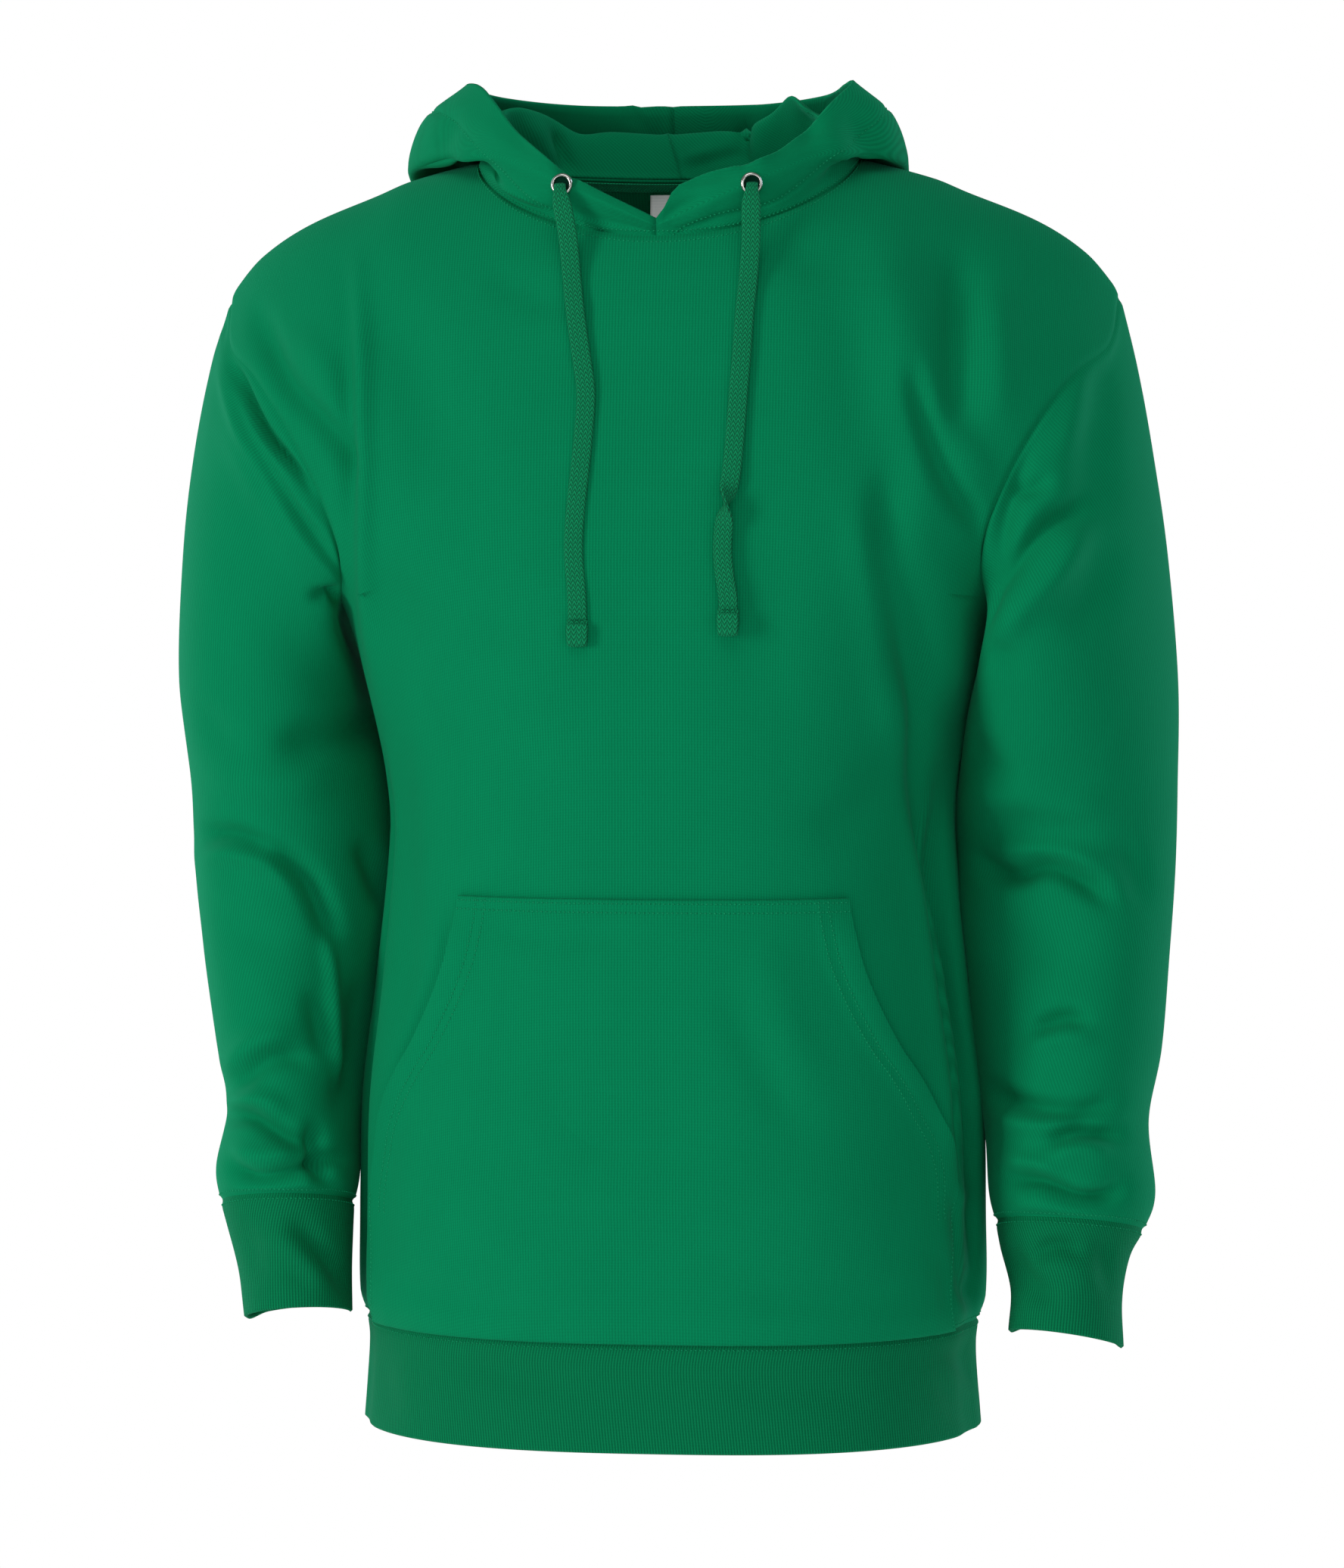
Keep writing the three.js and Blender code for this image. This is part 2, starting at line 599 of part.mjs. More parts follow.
// Pocket and neck tape
const pocket = { rows: pocketGrid(), flip: true };
const pocketFace = pocketLift + pocketWall;
addMesh("pocket", wallGeometry(pocket, sharedNormals([pocket]), pocketWall, pocketFace), fleece);
const tapeStrip = { rows: tapeGrid(back), flip: false };
const tapeNormal = sharedNormals([tapeStrip]);
const tapeFace = -clothWall - seamGap;
addMesh("neck_tape", wallGeometry(tapeStrip, tapeNormal, tape.thick, tapeFace), rib);

// Label: a blank plate that hangs from the tape's lower edge
const tapeEdge = tapeStrip.rows[1].reduce((best, p) =>
  Math.abs(p.x - label.x) < Math.abs(best.x - label.x) ? p : best,
);
const hangFrom = tapeEdge.clone().addScaledVector(tapeNormal(tapeEdge), tapeFace - tape.thick / 2);
const labelMesh = addMesh(
  "neck_label",
  new THREE.BoxGeometry(label.wide, label.thick, label.high),
  clothMaterial(white),
);
labelMesh.position.set(label.x, hangFrom.y, hangFrom.z - label.below - label.high / 2);

// Eyelets, cords and tips
const metal = new THREE.MeshStandardMaterial({ color: nickel, roughness: 0.3, metalness: 1 });
const braid = clothMaterial(kellyGreen);
for (const [name, sign] of [["left", -1], ["right", 1]]) {
  const ring = addMesh("eyelet_" + name, eyeletGeometry(), metal);
  const column = neckSteps / 3; // at 30 degrees round the neck
  const foldRow = (hoodRows * 3) / 5; // the fold is the third of five spans from the seam
  const seat = sewn["hood_" + name].rows[foldRow][column];
  const facing = normalAt(seat);
  ring.position.copy(seat).addScaledVector(facing, eyelet.lift);
  ring.quaternion.setFromUnitVectors(new THREE.Vector3(0, 1, 0), facing);
  const points = cordRoutes[name].map((p) => new THREE.Vector3(...p));
  addMesh("drawcord_" + name, cordGeometry(points), braid);
  const tip = addMesh(
    "cord_tip_" + name,
    new THREE.BoxGeometry(cordTip.wide, cordTip.thick, cordTip.high),
    braid,
  );
  const end = points[points.length - 1];
  tip.position.set(end.x, end.y - cordTip.forward, end.z - seamGap - cordTip.high / 2);
}

export default hoodie;
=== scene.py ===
from math import cos, pi, radians, sin

import bpy
import numpy as np
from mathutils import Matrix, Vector


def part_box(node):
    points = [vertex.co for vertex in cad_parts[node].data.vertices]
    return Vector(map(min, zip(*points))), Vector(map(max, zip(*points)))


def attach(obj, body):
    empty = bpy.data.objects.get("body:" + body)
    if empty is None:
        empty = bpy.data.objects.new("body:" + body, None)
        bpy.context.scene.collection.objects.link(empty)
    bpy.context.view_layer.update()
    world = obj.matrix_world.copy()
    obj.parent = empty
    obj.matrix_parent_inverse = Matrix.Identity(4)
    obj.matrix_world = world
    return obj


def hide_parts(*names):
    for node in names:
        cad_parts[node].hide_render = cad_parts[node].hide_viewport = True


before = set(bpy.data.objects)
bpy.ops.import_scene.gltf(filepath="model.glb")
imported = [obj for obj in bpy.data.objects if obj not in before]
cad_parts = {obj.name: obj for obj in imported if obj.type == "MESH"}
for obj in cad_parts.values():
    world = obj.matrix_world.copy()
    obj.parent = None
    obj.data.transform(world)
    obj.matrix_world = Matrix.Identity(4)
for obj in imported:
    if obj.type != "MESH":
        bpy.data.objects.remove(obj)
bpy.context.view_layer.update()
mm = 0.001

# Camera and light
shot = {
    "distance": 3000,  # long lens, so the garment hardly narrows with depth
    "turn": 6,  # degrees towards +X
    "height": -187,
    "lookAtHeight": -344.4,
    "seenHeight": 891,  # what the picture's height covers at the garment
    "pixel": 0.43,
    "middle": 888,
    "zeroRow": 235,
}
lamps = {
    # name: (place in metres, width, height, watts, colour)
    "keyLeft": ((-2.6, -2.0, 0.0), 0.9, 1.6, 57, "#ffffff"),
    "front": ((0.4, -3.3, -0.4), 1.8, 1.4, 18, "#ffffff"),
    "fillRight": ((2.3, -2.2, 0.1), 1.4, 2.0, 9, "#f4fbff"),
    "rimLeft": ((-1.8, 1.1, 0.1), 0.9, 2.4, 32, "#cfeaff"),
    "rimRight": ((1.9, 1.1, 0.1), 0.9, 2.4, 32, "#cfeaff"),
    "overhead": ((0.0, -1.3, 1.7), 1.6, 1.4, 14, "#ffffff"),
}
studio = {"seen": 1.0, "ambient": 0.2, "lampsLookAt": (0, 0, -0.35)}  # a white backdrop and a soft room


def toLinear(hexColour):
    parts = [int(hexColour[i : i + 2], 16) / 255 for i in (1, 3, 5)]
    return [c / 12.92 if c <= 0.04045 else ((c + 0.055) / 1.055) ** 2.4 for c in parts] + [1.0]


def aim(obj, target):
    obj.rotation_euler = (Vector(target) - obj.location).to_track_quat("-Z", "Y").to_euler()


turn = radians(shot["turn"])
cameraData = bpy.data.cameras.new("camera")
camera = bpy.data.objects.new("camera", cameraData)
bpy.context.scene.collection.objects.link(camera)
camera.location = (
    shot["distance"] * sin(turn) * mm,
    -shot["distance"] * cos(turn) * mm,
    shot["height"] * mm,
)
cameraData.sensor_width = 36
cameraData.lens = 36 * shot["distance"] / shot["seenHeight"]
aim(camera, (0, 0, shot["lookAtHeight"] * mm))
bpy.context.scene.camera = camera

for name, (place, wide, high, watts, colour) in lamps.items():
    lampData = bpy.data.lights.new(name, "AREA")
    lampData.shape = "RECTANGLE"
    lampData.size, lampData.size_y = wide, high
    lampData.energy = watts
    lampData.color = toLinear(colour)[:3]
    lamp = bpy.data.objects.new(name, lampData)
    bpy.context.scene.collection.objects.link(lamp)
    lamp.location = place
    aim(lamp, studio["lampsLookAt"])

world = bpy.data.worlds.new("paleStudio")
bpy.context.scene.world = world
world.use_nodes = True
roomLight = world.node_tree.nodes["Background"]
roomLight.inputs["Color"].default_value = toLinear("#ffffff")
roomLight.inputs["Strength"].default_value = studio["ambient"]
whiteBackdrop = world.node_tree.nodes.new("ShaderNodeBackground")
whiteBackdrop.inputs["Color"].default_value = toLinear("#ffffff")
whiteBackdrop.inputs["Strength"].default_value = studio["seen"]
rays = world.node_tree.nodes.new("ShaderNodeLightPath")
either = world.node_tree.nodes.new("ShaderNodeMixShader")
world.node_tree.links.new(rays.outputs["Is Camera Ray"], either.inputs[0])
world.node_tree.links.new(roomLight.outputs[0], either.inputs[1])
world.node_tree.links.new(whiteBackdrop.outputs[0], either.inputs[2])
world.node_tree.links.new(either.outputs[0], world.node_tree.nodes["World Output"].inputs[0])
bpy.context.scene.view_settings.view_transform = "Standard"
print("camera and light: done")

# The cords' routes
cord = {
    "wide": 10.4,
    "thick": 2.6,
    "atHole": 6.4,  # squeezed where it leaves the eyelet
    "thickAtHole": 3.4,
    "spreadsOver": 14,
    "turnsFrom": 170,  # the right cord turns half round below this depth
    "turnsOver": 30,
    "turnOut": 2.2,
    "step": 1.5,
    "sides": 20,
    "squareness": 3.2,
}
tipLook = {"wide": 11.4, "thick": 2.4, "fold": 12.4, "bend": 1.35, "step": 0.9, "drop": 0.8}
cordRoutes = {
    "left": [
        (-0.0532, -0.0846, -0.0098), (-0.0529, -0.0872, -0.0134), (-0.0518, -0.0894, -0.019),
        (-0.05, -0.0908, -0.027), (-0.0476, -0.0926, -0.04), (-0.045, -0.0972, -0.062),
        (-0.0424, -0.1028, -0.081), (-0.0388, -0.1078, -0.103), (-0.0356, -0.1118, -0.124),
        (-0.0362, -0.116, -0.145), (-0.038, -0.1194, -0.167), (-0.04, -0.1219, -0.188),
        (-0.041, -0.1242, -0.21), (-0.0396, -0.125, -0.228), (-0.0388, -0.1252, -0.241),
        (-0.0387, -0.1252, -0.249),
    ],
    "right": [
        (0.0532, -0.0846, -0.0098), (0.0532, -0.0872, -0.0134), (0.053, -0.0894, -0.019),
        (0.053, -0.0908, -0.027), (0.0532, -0.0926, -0.04), (0.0522, -0.0972, -0.062),
        (0.0507, -0.1028, -0.081), (0.0496, -0.1078, -0.103), (0.0482, -0.1118, -0.124),
        (0.047, -0.116, -0.145), (0.0452, -0.1194, -0.167), (0.0422, -0.1219, -0.188),
        (0.0406, -0.1242, -0.21), (0.042, -0.125, -0.225), (0.0437, -0.1252, -0.236),
        (0.0438, -0.1252, -0.243),
    ],
}


# Materials
def addNode(tree, kind, settings=None, links=None):
    # settings go to a socket of that name or number, else to the node's own property
    node = tree.nodes.new(kind)
    for key, value in (settings or {}).items():
        if isinstance(key, int) or key in node.inputs:
            node.inputs[key].default_value = value
        else:
            setattr(node, key, value)
    for key, source in (links or {}).items():
        tree.links.new(source, node.inputs[key])
    return node


def newFinish(name, **sockets):
    material = bpy.data.materials.new(name)
    material.use_nodes = True
    shader = material.node_tree.nodes["Principled BSDF"]
    for key, value in sockets.items():
        shader.inputs[key.replace("_", " ")].default_value = value
    return material, material.node_tree, shader


def stripes(tree, source, pitch, direction="X", distortion=0.0, detail=0.0):
    # a wave texture repeats every 0.314 of its own units
    return addNode(
        tree,
        "ShaderNodeTexWave",
        {
            "wave_type": "BANDS",
            "bands_direction": direction,
            "Scale": 0.31416 / pitch,
            "Distortion": distortion,
            "Detail": detail,
        },
        {"Vector": source},
    ).outputs["Fac"]


def fleeceFinish(name, colour, shade, walePitch=0.0017, waleDepth=0.00022):
    # Brushed cotton fleece, knitted: matt and soft, with fine upright lines of stitches and
    # short fibres that catch light at the edges. The real lines are 1 mm apart and are drawn
    # 1.7 mm apart, so that they still show in the picture.
    material, tree, shader = newFinish(name, Roughness=0.95, Sheen_Weight=0.12, Sheen_Roughness=0.4)
    shader.inputs["Sheen Tint"].default_value = toLinear("#4fb79a")
    shader.inputs["IOR"].default_value = 1.42
    shader.inputs["Specular IOR Level"].default_value = 0.06
    uv = addNode(tree, "ShaderNodeTexCoord").outputs["UV"]
    wales = stripes(tree, uv, walePitch, "X", 0.6, 1.0)
    courses = stripes(tree, uv, walePitch * 0.9, "Y", 0.8, 1.0)
    nap = addNode(tree, "ShaderNodeTexNoise", {"Scale": 1400, "Detail": 3}, {"Vector": uv}).outputs["Fac"]
    cloudy = addNode(tree, "ShaderNodeTexNoise", {"Scale": 26, "Detail": 4}, {"Vector": uv}).outputs["Fac"]
    knit = addNode(tree,
        "ShaderNodeMix", {"data_type": "FLOAT", 0: 0.25}, {2: wales, 3: courses}).outputs[0]
    height = addNode(tree, "ShaderNodeMix", {"data_type": "FLOAT", 0: 0.4}, {2: knit, 3: nap}).outputs[0]
    tone = addNode(tree,
        "ShaderNodeMix", {"data_type": "FLOAT", 0: 0.15}, {2: height, 3: cloudy}).outputs[0]
    # painted shade: the colour darkens where the knit and nap are low, in their hollows, mixed with a faint
    # random cloudy tone
    ramp = addNode(tree, "ShaderNodeValToRGB", {}, {"Fac": tone})
    ramp.color_ramp.elements[0].position = 0.15
    ramp.color_ramp.elements[0].color = toLinear(shade)
    ramp.color_ramp.elements[1].position = 0.85
    ramp.color_ramp.elements[1].color = toLinear(colour)
    bump = addNode(tree, "ShaderNodeBump", {"Strength": 0.55, "Distance": waleDepth}, {"Height": height})
    tree.links.new(ramp.outputs["Color"], shader.inputs["Base Color"])
    tree.links.new(bump.outputs["Normal"], shader.inputs["Normal"])
    return material


def ribFinish(name, colour, shade, pitch=0.0016):
    # 1x1 rib knit: raised cords side by side along the limb, with painted shade darkening the valleys
    #               between them.
    # The real cords are 1.2 mm apart and are drawn 1.6 mm apart to show in the picture.
    material, tree, shader = newFinish(name, Roughness=0.95, Sheen_Weight=0.1, Sheen_Roughness=0.4)
    shader.inputs["Sheen Tint"].default_value = toLinear("#4fb79a")
    shader.inputs["Specular IOR Level"].default_value = 0.06
    uv = addNode(tree, "ShaderNodeTexCoord").outputs["UV"]
    cords = stripes(tree, uv, pitch, "X", 0.25, 0.0)
    nap = addNode(tree, "ShaderNodeTexNoise", {"Scale": 1300, "Detail": 3}, {"Vector": uv}).outputs["Fac"]
    stitches = stripes(tree, uv, 0.0016, "Y", 0.6, 1.0)
    fine = addNode(tree, "ShaderNodeMix", {"data_type": "FLOAT", 0: 0.5}, {2: nap, 3: stitches}).outputs[0]
    height = addNode(tree, "ShaderNodeMix", {"data_type": "FLOAT", 0: 0.25}, {2: cords, 3: fine}).outputs[0]
    # painted shade: the low valleys between the cords take the ramp's dark colour
    ramp = addNode(tree, "ShaderNodeValToRGB", {}, {"Fac": height})
    ramp.color_ramp.elements[0].position = 0.12
    ramp.color_ramp.elements[0].color = toLinear(shade)
    ramp.color_ramp.elements[1].position = 0.75
    ramp.color_ramp.elements[1].color = toLinear(colour)
    bump = addNode(tree, "ShaderNodeBump", {"Strength": 0.6, "Distance": 0.0004}, {"Height": height})
    tree.links.new(ramp.outputs["Color"], shader.inputs["Base Color"])
    tree.links.new(bump.outputs["Normal"], shader.inputs["Normal"])
    return material


def braidFinish(name, colour, shade, plaits=4, width=0.0104, pitch=0.0026):
    # Flat braided cotton: rows of small plaits side by side, each a chain of slanted strands.
    material, tree, shader = newFinish(name, Roughness=0.85, Sheen_Weight=0.1, Sheen_Roughness=0.4)
    shader.inputs["Sheen Tint"].default_value = toLinear("#4fb79a")
    shader.inputs["Specular IOR Level"].default_value = 0.12
    uv = addNode(tree, "ShaderNodeTexCoord").outputs["UV"]
    axes = addNode(tree, "ShaderNodeSeparateXYZ", {}, {0: uv})
    across = addNode(
        tree, "ShaderNodeMath", {"operation": "MULTIPLY", 1: plaits / width}, {0: axes.outputs["X"]}
    )
    fold = addNode(tree, "ShaderNodeMath", {"operation": "PINGPONG", 1: 0.5}, {0: across.outputs[0]})
    slant = addNode(
        tree, "ShaderNodeMath", {"operation": "MULTIPLY", 1: pitch * 1.9}, {0: fold.outputs[0]}
    )
    along = addNode(
        tree, "ShaderNodeMath", {"operation": "ADD"}, {0: axes.outputs["Y"], 1: slant.outputs[0]}
    )
    phase = addNode(
        tree, "ShaderNodeMath", {"operation": "MULTIPLY", 1: 2 * pi / pitch}, {0: along.outputs[0]}
    )
    strand = addNode(tree, "ShaderNodeMath", {"operation": "SINE"}, {0: phase.outputs[0]})
    strandUp = addNode(
        tree, "ShaderNodeMapRange", {"From Min": -1.0, "From Max": 0.6}, {"Value": strand.outputs[0]}
    ).outputs["Result"]
    rows = addNode(
        tree, "ShaderNodeMapRange", {"From Min": -0.06, "From Max": 0.14}, {"Value": fold.outputs[0]}
    ).outputs["Result"]
    height = addNode(tree, "ShaderNodeMath", {"operation": "MULTIPLY"}, {0: strandUp, 1: rows}).outputs[0]
    # painted shade: the ramp's dark end falls between the slanted strands and in the gaps at the plaits'
    # edges
    ramp = addNode(tree, "ShaderNodeValToRGB", {}, {"Fac": height})
    ramp.color_ramp.elements[0].position = 0.0
    ramp.color_ramp.elements[0].color = toLinear(shade)
    ramp.color_ramp.elements[1].position = 0.55
    ramp.color_ramp.elements[1].color = toLinear(colour)
    bump = addNode(tree, "ShaderNodeBump", {"Strength": 0.9, "Distance": 0.0007}, {"Height": height})
    tree.links.new(ramp.outputs["Color"], shader.inputs["Base Color"])
    tree.links.new(bump.outputs["Normal"], shader.inputs["Normal"])
    return material


def tapeFinish(name, colour, shade):
    # Herringbone twill tape: slanted ribs that turn back at each upright line.
    material, tree, shader = newFinish(name, Roughness=0.85, Sheen_Weight=0.05)
    shader.inputs["Specular IOR Level"].default_value = 0.1
    uv = addNode(tree, "ShaderNodeTexCoord").outputs["UV"]
    axes = addNode(tree, "ShaderNodeSeparateXYZ", {}, {0: uv})
    zigzag = addNode(tree, "ShaderNodeMath", {"operation": "PINGPONG", 1: 0.0022}, {0: axes.outputs["Y"]})
    slanted = addNode(
        tree, "ShaderNodeMath", {"operation": "ADD"}, {0: axes.outputs["X"], 1: zigzag.outputs[0]}
    )
    phase = addNode(tree,
        "ShaderNodeMath", {"operation": "MULTIPLY", 1: 2 * pi / 0.0017}, {0: slanted.outputs[0]})
    twill = addNode(tree, "ShaderNodeMath", {"operation": "SINE"}, {0: phase.outputs[0]}).outputs[0]
    height = addNode(tree, "ShaderNodeMapRange", {"From Min": -1.0}, {"Value": twill}).outputs["Result"]
    # painted shade: the grooves between the twill's ribs take the darker colour
    ramp = addNode(tree, "ShaderNodeValToRGB", {}, {"Fac": height})
    ramp.color_ramp.elements[0].color = toLinear(shade)
    ramp.color_ramp.elements[1].color = toLinear(colour)
    bump = addNode(tree, "ShaderNodeBump", {"Strength": 0.6, "Distance": 0.0003}, {"Height": height})
    tree.links.new(ramp.outputs["Color"], shader.inputs["Base Color"])
    tree.links.new(bump.outputs["Normal"], shader.inputs["Normal"])
    return material


def labelFinish(name):
    # Woven polyester satin, white and blank: smooth, with a faint crosswise weave.
    material, tree, shader = newFinish(name, Roughness=0.55, Sheen_Weight=0.1)
    uv = addNode(tree, "ShaderNodeTexCoord").outputs["UV"]
    weave = stripes(tree, uv, 0.0009, "Y", 0.3, 0.0)
    # faint painted shade: the weave's grooves between the threads are painted a little grey
    ramp = addNode(tree, "ShaderNodeValToRGB", {}, {"Fac": weave})
    ramp.color_ramp.elements[0].color = toLinear("#e4e7e6")
    ramp.color_ramp.elements[1].color = toLinear("#fbfcfb")
    bump = addNode(tree, "ShaderNodeBump", {"Strength": 0.2, "Distance": 0.0001}, {"Height": weave})
    tree.links.new(ramp.outputs["Color"], shader.inputs["Base Color"])
    tree.links.new(bump.outputs["Normal"], shader.inputs["Normal"])
    return material


def nickelFinish(name):
    # Nickel-plated steel, polished: a bright ring with light scuffs; its fine turned lines are not drawn.
    material, tree, shader = newFinish(name, Metallic=1.0, Roughness=0.2)
    shader.inputs["Base Color"].default_value = toLinear("#c9c8c2")
    place = addNode(tree, "ShaderNodeTexCoord").outputs["Object"]
    scuffs = addNode(tree, "ShaderNodeTexNoise", {"Scale": 2200,
        "Detail": 3}, {"Vector": place}).outputs["Fac"]
    rough = addNode(tree, "ShaderNodeMapRange", {"To Min": 0.17, "To Max": 0.27}, {"Value": scuffs})
    bump = addNode(tree, "ShaderNodeBump", {"Strength": 0.05, "Distance": 0.0001}, {"Height": scuffs})
    tree.links.new(rough.outputs["Result"], shader.inputs["Roughness"])
    tree.links.new(bump.outputs["Normal"], shader.inputs["Normal"])
    return material


def threadFinish(name, colour):
    # Spun polyester sewing thread: slightly shinier than the cloth, twisted.
    material, tree, shader = newFinish(name, Roughness=0.75)
    shader.inputs["Specular IOR Level"].default_value = 0.12
    place = addNode(tree, "ShaderNodeTexCoord").outputs["Object"]
    twist = addNode(tree, "ShaderNodeTexNoise", {"Scale": 1800,
        "Detail": 2}, {"Vector": place}).outputs["Fac"]
    ramp = addNode(tree, "ShaderNodeValToRGB", {}, {"Fac": twist})
    ramp.color_ramp.elements[0].color = toLinear("#047a50")
    ramp.color_ramp.elements[1].color = toLinear(colour)
    bump = addNode(tree, "ShaderNodeBump", {"Strength": 0.3, "Distance": 0.0002}, {"Height": twist})
    tree.links.new(ramp.outputs["Color"], shader.inputs["Base Color"])
    tree.links.new(bump.outputs["Normal"], shader.inputs["Normal"])
    return material


# fleeceShade and ribShade are the dark ends of the knits' colour ramps: painted shade in the knit's
# hollows, and for the fleece also its random cloudy tone
greens = {"fleece": "#038455", "fleeceShade": "#026b44", "rib": "#037649", "ribShade": "#025a38"}
finishes = {
    # near-black green: painted shade for the inside of the eyelets' holes
    "hole": fleeceFinish("fleeceInShade", "#01301d", "#01261a"),
    "fleece": fleeceFinish("brushedCottonFleece", greens["fleece"], greens["fleeceShade"]),
    "rib": ribFinish("ribKnitOneByOne", greens["rib"], greens["ribShade"]),
    "braid": braidFinish("flatBraidedCotton", "#068a58", "#035a39"),
    # the neck tape is painted lighter than the cloth's green: painted light that makes up for the shade it
    # lies in at the back of the neck
    "tape": tapeFinish("herringboneTwillTape", "#12a56f", "#06764d"),
    "label": labelFinish("wovenSatinLabel"),
    "eyelet_metal": nickelFinish("nickelPlatedSteel"),
    "thread": threadFinish("sewingThread", "#0f9c69"),
}
print("finishes:", len(finishes))

# The garment's cut
cut = {
    "bandSeam": -647,
    "shoulderX": 252,
    "shoulderZ": -70,
    "underarmZ": -240,
    "neckHalf": 108,
    "neckRoundness": 1.3,
    "frontNeck": -37.6,
    "backNeck": 1,
    "roll": 110,
    "fullness": 2.7,
    "levelBelow": -300,
    "foldAt": 0.978,
    "foldWide": 0.022,
    "foldEnds": 0.012,
    "hoodShift": -10,
    "slipFrom": 72,
    "slipOver": 25,
}
fine = {"neck": 36, "shoulder": 64, "armhole": 76, "side": 134, "sleeve": 216, "hood": 22, "cuff": 26,
    "band": 24}

# distance from the middle, height
ridge = np.array([(0, 22), (60, 17), (108, 7), (148, -3.5), (166, -11), (207, -28), (233, -45),
    (248, -62), (252, -70)], float)
# height, half width, depth in front, depth behind
body = np.array([
    (25, 250, 84, 84), (-33, 254, 92, 94), (-70, 258, 98, 104), (-110, 268, 106, 112),
    (-150, 258, 114, 115), (-190, 232, 119, 113), (-220, 204, 122, 110), (-240, 188, 122, 108),
    (-260, 180, 122, 105), (-284, 173.5, 121.5, 102), (-307, 168, 121, 99), (-340, 162, 120, 96),
    (-372, 160, 120, 95), (-456, 168.5, 120, 98), (-521, 176.5, 120, 103), (-590, 178, 119, 106),
    (-634, 178, 118, 107), (-647, 174, 115, 104),
], float)
# height, distance from the middle
armhole = np.array([(-70, 252), (-98, 247), (-112, 231), (-142, 209), (-180, 189), (-208, 180),
    (-228, 181), (-240, 188)], float)
sideFold = np.array([(-300, 0), (-380, 5), (-470, 11), (-560, 12), (-620, 7), (-647, 3)], float)
# outer x, outer z, inner x, inner z, middle y, half depth, skew, lean
sleeveRings = {
    "left": np.array([
        (252, -70, 188, -240, 0, 80, 0, 0), (264, -110, 190, -256, 1, 80, 8, 0),
        (274, -160, 182, -279, 5, 78, 18, 0), (281, -215, 173, -306, 11, 76, 26, 0),
        (285, -285, 162, -342, 17, 73, 26, 0), (279, -345, 157, -380, 21, 70, 22, 0.02),
        (277, -392, 158, -418, 20, 67, 18, -0.04), (271, -440, 167, -458, 13, 64, 16, -0.1),
        (262, -492, 175, -503, 3, 59, 12, -0.16), (254, -532, 180, -539, -6, 53, 6, -0.2),
        (259, -565, 180, -568, -15, 47, 0, -0.22), (256, -584, 182, -582, -20, 38, 0, -0.24),
    ], float),
    "right": np.array([
        (252, -70, 188, -240, 0, 80, 0, 0), (262, -110, 187, -256, 1, 80, -10, 0),
        (271, -160, 176.5, -279, 5, 78, -24, 0), (279, -215, 169.6, -306, 10, 76, -22, 0),
        (285, -285, 164, -342, 16, 73, -8, 0), (285, -345, 157, -380, 19, 70, 22, 0.02),
        (284, -392, 158, -418, 17, 67, 18, -0.04), (281, -440, 165.5, -458, 9, 64, 16, -0.1),
        (277, -492, 173, -503, -1, 59, 12, -0.16), (270, -532, 180, -539, -11, 53, 6, -0.2),
        (274, -572, 183, -572, -20, 47, 0, -0.22), (268, -592, 187, -588, -25, 38, 0, -0.24),
    ], float),
}
cuffRings = {
    "left": np.array([(251, -600, 182, -597, -24, 33, 0, -0.25),
        (244, -624, 182, -620, -29, 31, 0, -0.26), (240, -648, 181, -643, -34, 31, 0, -0.27)], float),
    "right": np.array([(260, -607, 190, -603, -28, 33, 0, -0.25),
        (256, -631, 196, -626, -33, 31, 0, -0.26), (257, -656, 195, -648, -38, 31, 0, -0.27)], float),
}
# half of the hood by angle round the neck: angle, x, y, z
hoodTables = {
    "crest": [(0, 0, -82.5, -35.8), (30, 54.5, -76.5, -22), (50, 83, -62, -8), (65, 95, -42, 9),
        (80, 92, -22, 27), (95, 84, 2, 37), (120, 70, 34, 37), (150, 38, 60, 30), (180, 0, 70, 27)],
    "wayDown": [(0, 0, -83, -34), (30, 54, -79.5, -15.5), (50, 86, -62, -1), (65, 103, -42, 10),
        (80, 112, -22, 16), (95, 117, 6, 16), (120, 106, 56, 0), (150, 58, 103, -46), (180, 0, 119, -72)],
    "fold": [(0, 0, -83.6, -32.4), (30, 52.2, -81, -9.5), (50, 87, -62, 6), (65, 110, -42, 9),
        (80, 130, -20, 7), (95, 141, 12, 2), (120, 131, 80, -32), (135, 107, 110, -82),
        (150, 76, 124, -134), (168, 32, 128, -186), (180, 0, 128, -192)],
    "wayUp": [(0, 0, -84, -30.7), (30, 51.6, -80.5, -6), (50, 86, -61, 14), (65, 108, -41, 26),
        (80, 126, -20, 31), (95, 134, 12, 29), (120, 122, 84, 6), (150, 70, 136, -50), (180, 0, 151, -78)],
    "rim": [(0, 0, -84, -29), (30, 51, -79.5, -3), (50, 79, -60, 19), (65, 95, -43, 38),
        (80, 106, -22, 50), (95, 107, 4, 50), (120, 92, 56, 48), (150, 54, 90, 46), (180, 0, 102, 46)],
}
# height, half width
pocketEdge = np.array([(-402, 106.5), (-433, 111.5), (-458, 120), (-484, 132), (-501, 142), (-519, 151),
    (-542, 159), (-575, 163), (-646, 162)], float)
bandRings = np.array([(0, 0), (14, -1.5), (40, 0), (60, 1.5)], float)  # drop, how far let out


